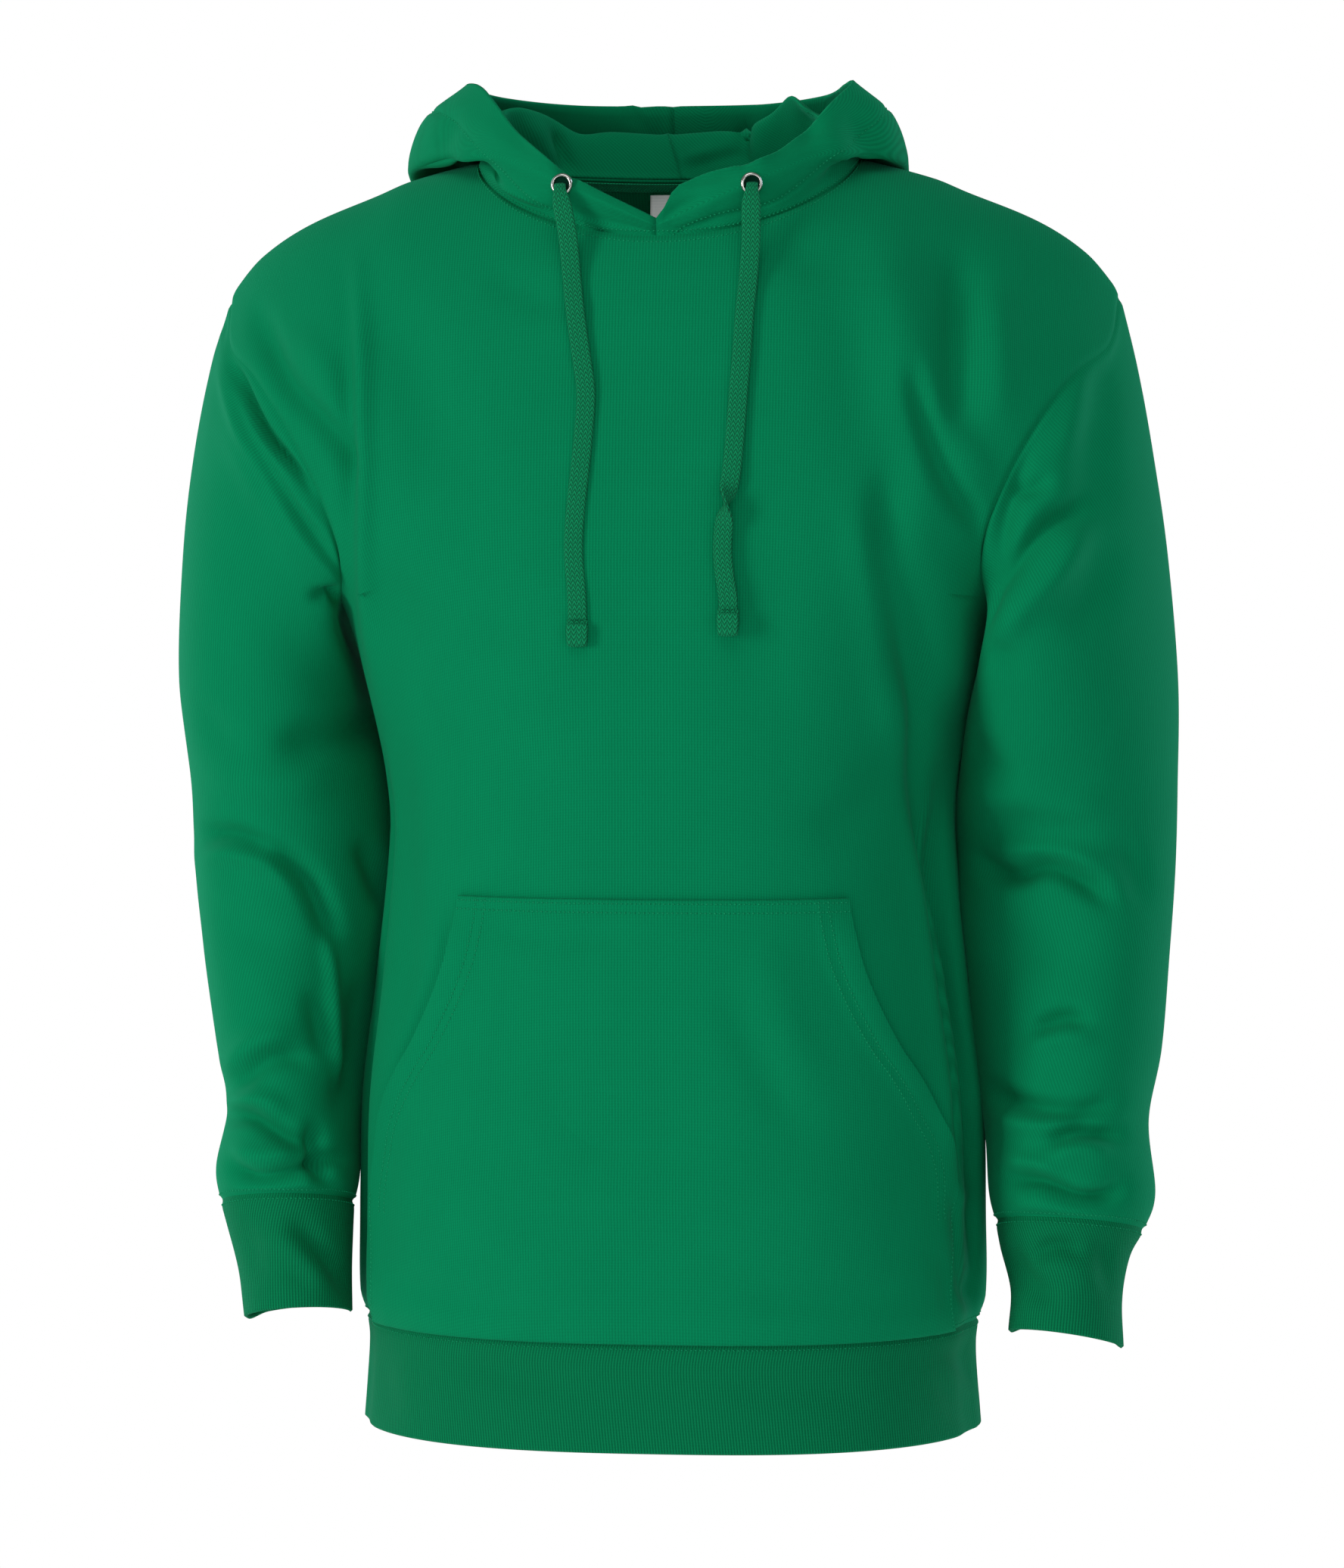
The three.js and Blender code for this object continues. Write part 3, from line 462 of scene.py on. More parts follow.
def curveAt(table, column, at):
    # value of a column on a smooth curve through the table's rows, looked up by its first column
    by, value = table[:, 0], table[:, column]
    if by[-1] < by[0]:
        by, value = by[::-1], value[::-1]
    at = np.clip(np.asarray(at, float), by[0], by[-1])
    k = np.clip(np.searchsorted(by, at, side="right") - 1, 0, len(by) - 2)
    low, high = np.maximum(np.arange(len(by)) - 1, 0), np.minimum(np.arange(len(by)) + 1, len(by) - 1)
    slope = (value[high] - value[low]) / (by[high] - by[low])
    span = by[k + 1] - by[k]
    p = (at - by[k]) / span
    p2, p3 = p * p, p * p * p
    return (
        value[k] * (2 * p3 - 3 * p2 + 1)
        + slope[k] * span * (p3 - 2 * p2 + p)
        + value[k + 1] * (3 * p2 - 2 * p3)
        + slope[k + 1] * span * (p3 - p2)
    )


def smooth(part):
    part = np.clip(part, 0, 1)
    return part * part * (3 - 2 * part)


def bodyPoint(side, fraction, z, edgeX):
    # side is -1 in front and 1 behind
    half = curveAt(body, 1, z)
    x = fraction * edgeX
    over = np.minimum(np.abs(x) / half, 1)
    across = np.sqrt(np.maximum(1 - over ** cut["fullness"], 0))
    below = np.clip((curveAt(ridge, 1, np.abs(x)) - z) / cut["roll"], 0, 1)
    deep = curveAt(body, 2 if side < 0 else 3, z) * across * np.sqrt(1 - (1 - below) ** 2)
    if side > 0:
        return np.stack([x, deep, z + 0 * x], -1)
    away = (over - cut["foldAt"]) / cut["foldWide"]
    inset = curveAt(sideFold, 1, z) * np.exp(-away * away) * smooth((1 - over) / cut["foldEnds"])
    inset = np.where(z < sideFold[0, 0], inset, 0)
    return np.stack([x - np.sign(x) * inset * 0.6, -(deep - inset * 0.5), z + 0 * x], -1)


def refineEnds(values):
    # more rows close to a seam, where the cloth dips
    values = list(values)
    first = [values[0] + (values[1] - values[0]) * k for k in (0.3, 0.6)]
    last = [values[-2] + (values[-1] - values[-2]) * k for k in (0.4, 0.7)]
    return np.array([values[0], *first, *values[1:-1], *last, values[-1]])


def panelColumns():
    neckPart = cut["neckHalf"] / cut["shoulderX"]
    even = np.arange(fine["neck"]) / fine["neck"]
    inner = neckPart * (0.4 * even + 0.6 * np.sin(pi / 2 * even))
    start = np.arcsin(neckPart)
    outer = np.sin(start + (pi / 2 - start) * np.arange(fine["shoulder"] + 1) / fine["shoulder"])
    outer = np.concatenate([outer[:-1], [outer[-2] + (outer[-1] - outer[-2]) * 0.5], outer[-1:]])
    half = np.concatenate([inner, outer])
    return np.concatenate([-half[:0:-1], half])


def topHeight(side, x):
    middle = cut["frontNeck"] if side < 0 else cut["backNeck"]
    end = curveAt(ridge, 1, cut["neckHalf"])
    square = np.clip(1 - (x / cut["neckHalf"]) ** 2, 0, 1)
    scoop = end + (middle - end) * square ** (cut["neckRoundness"] / 2)
    return np.where(x >= cut["neckHalf"] - 1e-6, curveAt(ridge, 1, x), scoop)


def panelGrid(side):
    columns = panelColumns()
    reach = (cut["shoulderZ"] - cut["underarmZ"]) / 2
    upper = cut["shoulderZ"] - reach * (1 - np.cos(pi * np.arange(fine["armhole"] + 1) / fine["armhole"]))
    lower = refineEnds(np.linspace(cut["underarmZ"], cut["bandSeam"], fine["side"] + 1))[3:]
    rows = []
    for edgeZ in np.concatenate([upper, lower]):
        edgeX = curveAt(armhole, 1, edgeZ) if edgeZ >= cut["underarmZ"] else curveAt(body, 1, edgeZ)
        level = smooth((cut["shoulderZ"] - edgeZ) / (cut["shoulderZ"] - cut["levelBelow"]))
        rise = topHeight(side, np.abs(columns) * cut["shoulderX"]) - cut["shoulderZ"]
        # columns near the neck stay upright, and the outer ones follow the armhole
        inward = smooth((np.abs(columns) - 0.25) / 0.75)
        x = columns * (cut["shoulderX"] + (edgeX - cut["shoulderX"]) * inward)
        rows.append(bodyPoint(side, x / edgeX, edgeZ + rise * (1 - level), edgeX))
    return np.array(rows)


def armRing(sign, row):
    around = pi * np.arange(2 * fine["armhole"]) / fine["armhole"]
    outX, outZ, inX, inZ, midY, deep, skew, lean = row
    across = (1 + np.cos(around)) / 2
    y = midY + skew * (1 - across) - deep * np.sin(around)
    x = inX + (outX - inX) * across
    z = inZ + (outZ - inZ) * across + lean * (y - midY)
    return np.stack([sign * x, y, z], -1)


def rowAt(table, at):
    numbered = np.column_stack([np.arange(len(table)), table])
    return [float(curveAt(numbered, c + 1, at)) for c in range(table.shape[1])]


def sleeveGrid(sign, table, start):
    plain = armRing(sign, table[0])
    rings = [start]
    parts = refineEnds(np.linspace(0, 1, fine["sleeve"] + 1))[1:]
    for part in parts:
        keep = 1 - smooth(part / 0.3)
        rings.append(armRing(sign, rowAt(table, part * (len(table) - 1))) + (start - plain) * keep)
    return np.array(rings)


def cuffGrid(sign, sleeveTable, table, start):
    whole = np.vstack([sleeveTable[-1], table])
    rings = [start]
    for part in refineEnds(np.linspace(0, 1, fine["cuff"] + 1))[1:]:
        row = rowAt(whole, part * (len(whole) - 1))
        ring = armRing(sign, row)
        back = np.clip((ring[:, 1] - row[4]) / row[5], 0, 1)
        ring[:, 2] -= row[7] * (ring[:, 1] - row[4]) * smooth(back * 1.4) * part
        rings.append(ring)
    return np.array(rings)


def splineThrough(points, steps):
    # centripetal curve through the points, each an array of the same shape
    ends = [2 * points[0] - points[1], *points, 2 * points[-1] - points[-2]]
    rows = []
    for k in range(len(points) - 1):
        p0, p1, p2, p3 = ends[k : k + 4]
        gap = lambda a, b: np.maximum(np.linalg.norm(b - a, axis=-1, keepdims=True), 1e-4) ** 0.5
        d0, d1, d2 = gap(p0, p1), gap(p1, p2), gap(p2, p3)
        t1 = ((p1 - p0) / d0 - (p2 - p0) / (d0 + d1) + (p2 - p1) / d1) * d1
        t2 = ((p2 - p1) / d1 - (p3 - p1) / (d1 + d2) + (p3 - p2) / d2) * d1
        for t in np.arange(steps) / steps:
            rows.append(
                p1 + t1 * t + (-3 * p1 + 3 * p2 - 2 * t1 - t2) * t * t + (2 * p1 - 2 * p2 + t1 + t2) * t**3
            )
    return np.array([*rows, points[-1]])


# the hood's crest has a small ear on each side, and its right half stands up beside the V
hoodEars = {"at": 112, "wide": 13, "left": 1, "right": 7, "forward": 9}
hoodDip = {"at": 140, "wide": 10, "deep": 5}
hoodStand = {"wayUp": 7, "rim": 12, "reached": 7, "from": 12, "over": 30}


def hoodGrid(sign, neckline):
    # the angle goes with the cut's own columns: 90 degrees at the neck's side
    angle = np.concatenate([np.linspace(0, 90, fine["neck"] + 1), np.linspace(90, 180,
        fine["neck"] + 1)[1:]])
    slip = cut["hoodShift"] * smooth((angle - cut["slipFrom"]) / cut["slipOver"])
    through = [neckline]
    for name in ("crest", "wayDown", "fold", "wayUp", "rim"):
        table = np.array(hoodTables[name], float)
        x, y, z = (curveAt(table, c, angle) for c in (1, 2, 3))
        if name == "crest":
            ear = np.exp(-(((angle - hoodEars["at"]) / hoodEars["wide"]) ** 2))
            dip = np.exp(-(((angle - hoodDip["at"]) / hoodDip["wide"]) ** 2))
            z = z + hoodEars["right" if sign > 0 else "left"] * ear - hoodDip["deep"] * dip
            y = y - hoodEars["forward"] * ear
        if sign > 0 and name in ("wayUp", "rim"):
            past = smooth((angle - hoodStand["from"]) / hoodStand["over"])
            z = z + hoodStand[name] * smooth(angle / hoodStand["reached"]) * (1 - past)
        through.append(np.stack([sign * x + slip, y, z], -1))
    return splineThrough(through, fine["hood"])


front, back = panelGrid(-1), panelGrid(1)
middle = (front.shape[1] - 1) // 2
last = fine["armhole"]
grids = {}
for name, sign in (("left", -1), ("right", 1)):
    edge = 0 if sign < 0 else -1
    start = np.concatenate([front[: last + 1, edge], back[last - 1 : 0 : -1, edge]])
    grids["sleeve_" + name] = sleeveGrid(sign, sleeveRings[name], start)
    grids["cuff_" + name] = cuffGrid(sign, sleeveRings[name], cuffRings[name], grids["sleeve_" + name][-1])
    n = fine["neck"]
    columns = middle + sign * np.arange(n + 1)
    neckline = np.concatenate([front[0, columns], back[0, columns[:-1]][::-1]])
    grids["hood_" + name] = hoodGrid(sign, neckline)
seamRing = np.concatenate([front[-1], back[-1, -2:0:-1]])
bandRows = []
for drop in refineEnds(np.linspace(0, 60, fine["band"] + 1)):
    flat = np.hypot(seamRing[:, 0], seamRing[:, 1])
    scale = 1 + curveAt(bandRings, 1, drop) / flat
    bandRows.append(np.stack([seamRing[:, 0] * scale, seamRing[:, 1] * scale, seamRing[:, 2] - drop], -1))
grids["waistband"] = np.array(bandRows)
grids["front_panel"], grids["back_panel"] = front, back
print("forms:", {name: grid.shape[:2] for name, grid in grids.items()})


# Folds
def onPicture(points):
    # millimetres to the picture's pixels
    x = points[..., 0] * cos(turn) + points[..., 1] * sin(turn)
    behind = points[..., 1] * cos(turn) - points[..., 0] * sin(turn)
    scale = shot["distance"] / (shot["distance"] + behind)
    up = shot["height"] + (points[..., 2] - shot["height"]) * scale
    return np.stack([shot["middle"] + x * scale / shot["pixel"], shot["zeroRow"] - up / shot["pixel"]], -1)


def normalsOf(grid, closed, flip):
    across = np.roll(grid, -1, 1) - np.roll(grid, 1, 1) if closed else np.gradient(grid, axis=1)
    if not closed:
        across[:, 0], across[:, -1] = grid[:, 1] - grid[:, 0], grid[:, -1] - grid[:, -2]
    down = np.gradient(grid, axis=0)
    n = np.cross(across, down)
    n /= np.maximum(np.linalg.norm(n, axis=-1, keepdims=True), 1e-9)
    return -n if flip else n


def softer(n, closed, rounds=4):
    # evens out normals where the rows of a piece crowd together
    for _ in range(rounds):
        beside = np.roll(n, 1, 1) + np.roll(n, -1, 1)
        if not closed:
            beside[:, 0], beside[:, -1] = 2 * n[:, 0], 2 * n[:, -1]
        along = 2 * n
        along[1:-1] = n[:-2] + n[2:]
        n = beside + along
        n = n / np.maximum(np.linalg.norm(n, axis=-1, keepdims=True), 1e-9)
    return n


def foldHeight(flatPoints, folds, unit):
    # each fold: (height in mm, half width in mm, tilt, [points]). A trough has a negative height;
    # tilt raises one side of the line and lowers the other. It fades out at its two ends.
    total = np.zeros(flatPoints.shape[:-1])
    for high, wide, tilt, line in folds:
        reach = wide / unit
        points = [np.array([point], float) for point in line]
        path = splineThrough(points, 12)[:, 0]
        far = np.concatenate([[0], np.cumsum(np.linalg.norm(np.diff(path, axis=0), axis=1))])
        places = np.linspace(0, far[-1], max(int(far[-1] / reach / 0.4), 3) + 1)
        path = np.stack([np.interp(places, far, path[:, k]) for k in range(2)], -1)
        step = places[1] / reach / pi**0.5
        ahead = np.gradient(path, axis=0)
        ahead /= np.linalg.norm(ahead, axis=1, keepdims=True)
        fade = np.clip(np.sin(pi * places / far[-1]) * 1.7, 0, 1)
        near = ((flatPoints > path.min(0) - 2.6 * reach) & (flatPoints < path.max(0) + 2.6 * reach)).all(-1)
        off = flatPoints[near][:, None] - path
        pull = np.exp(-(off**2).sum(-1) / reach**2) * fade
        beside = (off[..., 0] * ahead[:, 1] - off[..., 1] * ahead[:, 0]) / reach
        total[near] += (pull * (high + 1.6 * tilt * beside)).sum(-1) * step
    return total


folds = {
    "front": [
        (-6, 20, 0, [(500, 380), (530, 450), (566, 540), (600, 640)]),
        (3, 6, 3.4, [(466, 330), (471, 400), (474, 520), (477, 660), (481, 790), (493, 880), (503, 960)]),
        (-7, 7, 1, [(344, 400), (366, 470), (392, 518), (426, 552), (456, 594), (472, 640)]),
        (3, 9, 0, [(400, 440), (436, 500), (456, 560)]),
        (-3, 6, 0, [(452, 440), (459, 520), (464, 700)]),
        (0, 24, -5.5, [(1196, 290), (1214, 400), (1232, 520), (1250, 660)]),
        (5, 26, 0, [(470, 1585), (700, 1600), (900, 1600), (1240, 1585)]),
        (-6, 7, 2.5, [(1205, 470), (1222, 545), (1250, 620), (1280, 668), (1316, 708)]),
        (3, 9, 0, [(1240, 500), (1275, 590), (1310, 640)]),
        (-7, 11, 0, [(1266, 330), (1269, 400), (1269, 470), (1260, 580)]),
        (4, 12, 0, [(1310, 380), (1316, 470), (1312, 560)]),
        (-6, 26, 0, [(1130, 400), (1150, 500), (1160, 600)]),
        (-7, 12, 0, [(1182, 590), (1172, 668), (1170, 736), (1184, 815), (1196, 934)]),
        (5, 12, 0, [(1128, 650), (1148, 730), (1168, 820), (1182, 930), (1190, 1010)]),
        (-9, 9, -2, [(1188, 800), (1206, 890), (1214, 980), (1222, 1080), (1240, 1200), (1256, 1320),
            (1266, 1440)]),
        (-7, 6, -1, [(1224, 1060), (1236, 1150), (1250, 1250), (1262, 1350), (1268, 1460), (1270, 1580)]),
        (4, 7, 0, [(1200, 1060), (1216, 1160), (1232, 1270), (1246, 1390), (1250, 1500), (1250, 1600)]),
        (5, 14, 0, [(1246, 740), (1254, 820), (1244, 920)]),
        (-5, 12, 0, [(1262, 900), (1250, 1000), (1246, 1080)]),
        (-5, 5, 0, [(1258, 1575), (1266, 1640), (1277, 1700), (1290, 1746)]),
        (3, 4, 0, [(1264, 1560), (1274, 1640), (1284, 1710)]),
        (-4, 4, 0, [(1278, 1580), (1287, 1660), (1292, 1735)]),
        (-3, 8, 0, [(1238, 1650), (1250, 1700), (1252, 1750)]),
        (-3, 26, 0, [(620, 1560), (760, 1620), (900, 1640), (1060, 1600)]),
        (-2.5, 26, 0, [(560, 880), (640, 990), (760, 1060)]),
        (2.6, 34, 0, [(700, 560), (720, 760), (700, 1000)]),
        (-2.6, 12, 0, [(518, 740), (532, 800), (546, 860)]),
        (-3, 9, 0, [(524, 940), (534, 1060), (538, 1200), (534, 1360)]),
        (-2.4, 22, 0, [(980, 620), (1010, 800), (1000, 980)]),
        (-3, 14, 0, [(1070, 1100), (1140, 1070), (1196, 1000)]),
        (-2.4, 10, 0, [(508, 1480), (512, 1600), (506, 1700)]),
        (-2.6, 9, 0, [(520, 1690), (600, 1722), (700, 1732)]),
        (-2.4, 9, 0, [(980, 1726), (1100, 1722), (1200, 1706)]),
        (-2, 10, 0, [(640, 360), (720, 400), (800, 410)]),
        (-3, 12, 0, [(1020, 330), (1080, 350), (1150, 330)]),
    ],
    "besidePocket": [
        (-2.6, 3.4, 0, [(1116, 1196), (1127, 1274), (1150, 1334), (1185, 1394), (1234, 1468),
            (1256, 1530)]),
        (-3, 3.6, 0, [(597, 1196), (587, 1260), (567, 1319), (542, 1384), (520, 1440)]),
    ],
    "back": [
        (-6, 18, 0, [(-190, -150), (-150, -220), (-110, -280)]),
        (-6, 18, 0, [(192, -150), (155, -215), (108, -290)]),
        (-5, 12, 1, [(-172, -250), (-120, -330), (-80, -400)]),
        (-5, 13, -1, [(168, -260), (125, -320), (70, -380)]),
        (4, 12, 0, [(-150, -250), (-120, -300), (-90, -340)]),
        (-5, 18, 0, [(-150, -380), (-154, -480), (-158, -600)]),
        (-6, 16, 0, [(140, -360), (150, -470), (156, -610)]),
        (3.5, 14, 0, [(-124, -400), (-128, -500), (-132, -610)]),
        (-4, 26, 0, [(-60, -420), (-30, -500), (-40, -600)]),
        (-4, 24, 0, [(60, -380), (84, -480), (70, -590)]),
        (-4, 11, 0, [(-110, -622), (-40, -632), (30, -628)]),
        (-3.5, 12, 0, [(20, -600), (80, -616), (130, -606)]),
        (-4, 16, 0, [(-90, -60), (-40, -74), (20, -76), (80, -62)]),
        (3, 14, 0, [(-80, -110), (0, -122), (70, -112)]),
    ],
    "sleeve_left": [
        (-7, 3, -5, [(300, 405), (304, 440), (318, 499), (340, 552), (358, 582), (390, 617), (421, 653),
            (453, 681), (484, 718)]),
        (3.5, 5, 0, [(292, 450), (309, 520), (338, 577), (370, 621), (404, 662), (438, 694), (468, 724)]),
        (-1, 4, -3.2, [(302, 480), (320, 552), (360, 624), (400, 692), (438, 744), (466, 770)]),
        (3.5, 9, 0, [(298, 540), (334, 620), (380, 700), (424, 760)]),
        (-8, 4, 2, [(408, 786), (445, 782), (486, 773)]),
        (-6, 8, 0, [(452, 796), (472, 840), (492, 890), (504, 950)]),
        (-9, 11, 0, [(366, 990), (410, 980), (461, 966), (516, 938)]),
        (-4, 10, 0, [(262, 930), (280, 960), (306, 985)]),
        (4, 12, 0, [(280, 1010), (320, 1028), (380, 1040), (440, 1028)]),
        (-7, 6, 0, [(262, 1106), (285, 1102), (320, 1106), (358, 1126)]),
        (5, 7, 0, [(262, 1136), (310, 1126), (354, 1140), (396, 1178)]),
        (-9, 7, 2, [(350, 1112), (380, 1136), (410, 1166), (428, 1204), (444, 1246)]),
        (-7, 7, 0, [(474, 1110), (494, 1152), (508, 1196)]),
        (-4, 13, 0, [(280, 1210), (315, 1232), (370, 1240)]),
        (4.4, 3.6, 0, [(428, 1226), (438, 1319), (444, 1385), (454, 1450)]),
        (-6, 7, 0, [(410, 1310), (420, 1352), (428, 1400)]),
        (-8, 9, 0, [(472, 1290), (474, 1363), (464, 1420), (440, 1476)]),
        (-7, 7, 1, [(308, 1448), (332, 1410), (372, 1394), (416, 1400)]),
        (5, 8, 0, [(300, 1420), (334, 1382), (384, 1364)]),
        (-8, 5.5, 2, [(296, 1480), (322, 1474), (354, 1490), (388, 1508), (414, 1506)]),
        (5, 6, 0, [(306, 1462), (334, 1452), (374, 1470)]),
        (-10, 5, 0, [(410, 1484), (418, 1530), (420, 1566)]),
        (-7, 5, 0, [(294, 1530), (312, 1549), (340, 1562), (384, 1552), (421, 1536), (462, 1526)]),
        (5, 6, 0, [(306, 1520), (344, 1530), (392, 1524)]),
        (5, 7, 0, [(300, 1582), (335, 1579), (400, 1573), (452, 1558)]),
        (-6, 5, 0, [(440, 1584), (422, 1560), (410, 1538)]),
    ],
    "sleeve_left_behind": [
        (-7, 12, 0, [(-262, -130), (-240, -190), (-210, -250)]),
        (-6, 10, 0, [(-280, -300), (-240, -330), (-190, -320)]),
        (5, 12, 0, [(-280, -360), (-230, -372), (-180, -350)]),
        (-6, 9, 0, [(-276, -400), (-235, -410), (-190, -392)]),
        (-6, 9, 0, [(-262, -470), (-230, -486), (-192, -470)]),
        (-6, 8, 0, [(-256, -520), (-225, -532), (-190, -520)]),
        (-6, 7, 0, [(-254, -552), (-220, -560), (-188, -550)]),
    ],
    "sleeve_right": [
        (-9, 7, -1, [(1432, 650), (1424, 673), (1395, 684), (1364, 716), (1342, 742), (1318, 784)]),
        (6, 9, 0, [(1440, 690), (1415, 724), (1391, 760), (1350, 800), (1310, 850)]),
        (-6, 14, 0, [(1470, 440), (1460, 500), (1449, 550), (1448, 640), (1440, 700)]),
        (4, 9, 0, [(1420, 470), (1424, 540), (1400, 600)]),
        (-6, 5, 0, [(1338, 642), (1356, 647), (1384, 635)]),
        (-5, 12, 0, [(1466, 720), (1446, 780), (1416, 830)]),
        (-7, 8, 0, [(1352, 560), (1334, 640), (1322, 700), (1312, 770), (1302, 850)]),
        (-5, 8, 0, [(1300, 858), (1320, 862), (1344, 882)]),
        (-5, 10, 0, [(1284, 960), (1300, 1010), (1336, 1030)]),
        (5, 11, 0, [(1280, 1060), (1340, 1048), (1400, 1060), (1480, 1080)]),
        (5, 8, 0, [(1316, 1120), (1360, 1122), (1410, 1128), (1464, 1150)]),
        (-9, 6.5, -1.5, [(1284, 1120), (1306, 1148), (1341, 1160), (1385, 1146), (1430, 1166),
            (1476, 1200)]),
        (-4, 8, 0, [(1476, 1110), (1502, 1150), (1510, 1200)]),
        (-4, 15, 0, [(1310, 1240), (1360, 1260), (1436, 1250)]),
        (-7, 5, 0, [(1366, 1366), (1392, 1351), (1414, 1346), (1440, 1353)]),
        (4, 7, 0, [(1360, 1390), (1400, 1374), (1450, 1370)]),
        (-8, 6.5, 1.5, [(1306, 1424), (1318, 1442), (1348, 1458), (1401, 1468), (1446, 1465),
            (1486, 1450)]),
        (5, 7, 0, [(1318, 1474), (1360, 1486), (1430, 1484)]),
        (-8, 5, 0, [(1384, 1516), (1400, 1506), (1428, 1498), (1461, 1502), (1490, 1502)]),
        (5, 6, 0, [(1390, 1530), (1430, 1520), (1470, 1526)]),
        (-9, 5.5, 0, [(1330, 1554), (1352, 1563), (1374, 1562), (1406, 1577), (1434, 1587), (1470, 1582),
            (1492, 1558)]),
        (5, 6, 0, [(1334, 1536), (1370, 1541), (1402, 1553)]),
        (5, 7, 0, [(1342, 1592), (1400, 1604), (1462, 1611)]),
    ],
    "sleeve_right_behind": [
        (-7, 12, 0, [(262, -140), (238, -200), (206, -255)]),
        (-6, 11, 0, [(278, -290), (236, -320), (190, -330)]),
        (5, 12, 0, [(280, -350), (236, -362), (184, -352)]),
        (-6, 9, 0, [(278, -396), (240, -414), (194, -400)]),
        (-6, 9, 0, [(274, -460), (238, -474), (196, -468)]),
        (-6, 8, 0, [(270, -520), (236, -528), (198, -522)]),
        (-6, 7, 0, [(270, -560), (236, -570), (196, -562)]),
    ],
    "hood": [
        (-5, 4.5, 2, [(606, 214), (620, 234), (636, 250), (682, 271), (744, 289)]),
        (4, 6, 0, [(604, 200), (640, 232), (690, 256), (745, 274)]),
        (-3, 3.5, 0, [(560, 226), (585, 220), (606, 210)]),
        (-2.4, 2.6, 0, [(830, 140), (840, 156), (852, 170)]),
        (2, 3, 0, [(846, 138), (856, 154), (866, 168)]),
        (-2, 2.6, 0, [(878, 150), (890, 160), (900, 172)]),
        (-3.4, 4, 0, [(880, 238), (910, 226), (950, 212), (985, 206)]),
        (2.6, 4, 0, [(880, 222), (915, 212), (950, 200)]),
        (-3, 4, 0, [(900, 246), (940, 236), (978, 230)]),
        (-4, 4, 3, [(732, 172), (744, 200), (756, 228), (764, 250)]),
        (4, 7, 0, [(700, 160), (716, 190), (734, 226)]),
        (-4, 4, -3, [(984, 164), (980, 196), (980, 232)]),
        (4, 7, 0, [(1010, 150), (1004, 190), (1000, 226)]),
        (-3, 5, 0, [(1060, 150), (1070, 172), (1064, 196)]),
        (-3, 5, 1, [(868, 312), (876, 292), (896, 276), (930, 262)]),
        (2.6, 5, 0, [(884, 306), (900, 292), (940, 276)]),
        (-3, 7, 0, [(1120, 150), (1140, 190), (1150, 214)]),
        (2.5, 7, 0, [(1090, 180), (1110, 205), (1120, 230)]),
        (-2.5, 6, 0, [(600, 150), (596, 180), (580, 206)]),
    ],
    "cuff_left": [
        (-5, 6, 0, [(376, 1618), (400, 1634), (424, 1662), (444, 1690), (458, 1722)]),
        (3, 8, 0, [(350, 1622), (384, 1656), (412, 1690), (424, 1722)]),
        (-3, 8, 0, [(318, 1622), (330, 1660), (340, 1700)]),
        (-2, 5, 0, [(372, 1684), (392, 1690), (412, 1700)]),
    ],
    "cuff_right": [
        (-4.5, 5, 0, [(1366, 1668), (1384, 1654), (1407, 1650), (1432, 1660)]),
        (-5, 7, 0, [(1340, 1650), (1350, 1680), (1368, 1704), (1396, 1722)]),
        (3, 7, 0, [(1380, 1684), (1410, 1676), (1446, 1690)]),
        (-3, 6, 0, [(1458, 1640), (1464, 1680), (1470, 1720)]),
    ],
    "band": [
        (-2, 9, 0, [(600, 1800), (680, 1826), (760, 1830)]),
        (-2.5, 6, 0, [(1253, 1786), (1275, 1808), (1290, 1838)]),
        (-2.5, 5, 0, [(1272, 1776), (1284, 1800), (1295, 1850)]),
        (-2, 7, 0, [(1240, 1830), (1262, 1860), (1270, 1892)]),
        (-2, 7, 0, [(512, 1790), (506, 1830), (516, 1880)]),
        (-1.6, 10, 0, [(960, 1850), (1060, 1842), (1150, 1850)]),
    ],
    "band_behind": [
        (-3, 12, 0, [(-150, -660), (-120, -684), (-90, -700)]),
        (-3, 12, 0, [(120, -656), (100, -680), (60, -702)]),
        (-2.5, 14, 0, [(-30, -660), (0, -680), (40, -690)]),
    ],
    "pocket": [
        (-2.5, 10, 0, [(630, 1225), (720, 1234), (820, 1228)]),
        (-3, 26, 0, [(700, 1420), (820, 1500), (940, 1480)]),
        (2, 14, 0, [(1000, 1240), (1040, 1360), (1080, 1450)]),
        (-2, 12, 0, [(960, 1300), (1000, 1400), (1060, 1500)]),
    ],
}
pictureUnit = shot["pixel"]


def sewnFade(grid, edges):
    # the distance along the cloth from the nearest sewn edge: 0 at the edge, growing away from it
    down = np.linalg.norm(np.diff(grid, axis=0), axis=-1)
    fromTop = np.vstack([np.zeros(grid.shape[1]), np.cumsum(down, 0)])
    gap = np.full(grid.shape[:2], 1e9)
    if "top" in edges:
        gap = np.minimum(gap, fromTop)
    if "bottom" in edges:
        gap = np.minimum(gap, fromTop[-1] - fromTop)
    if "sides" in edges:
        over = np.linalg.norm(np.diff(grid, axis=1), axis=-1)
        fromSide = np.hstack([np.zeros((grid.shape[0], 1)), np.cumsum(over, 1)])
        gap = np.minimum(gap, np.minimum(fromSide, fromSide[:, -1:] - fromSide))
    return gap


# how the cloth rises beside a seam and dips under a row of stitches
puff = {"high": 1.3, "over": 2.4, "grooveDeep": 0.9, "grooveWide": 2.0, "foldsFadeOver": 7.0}


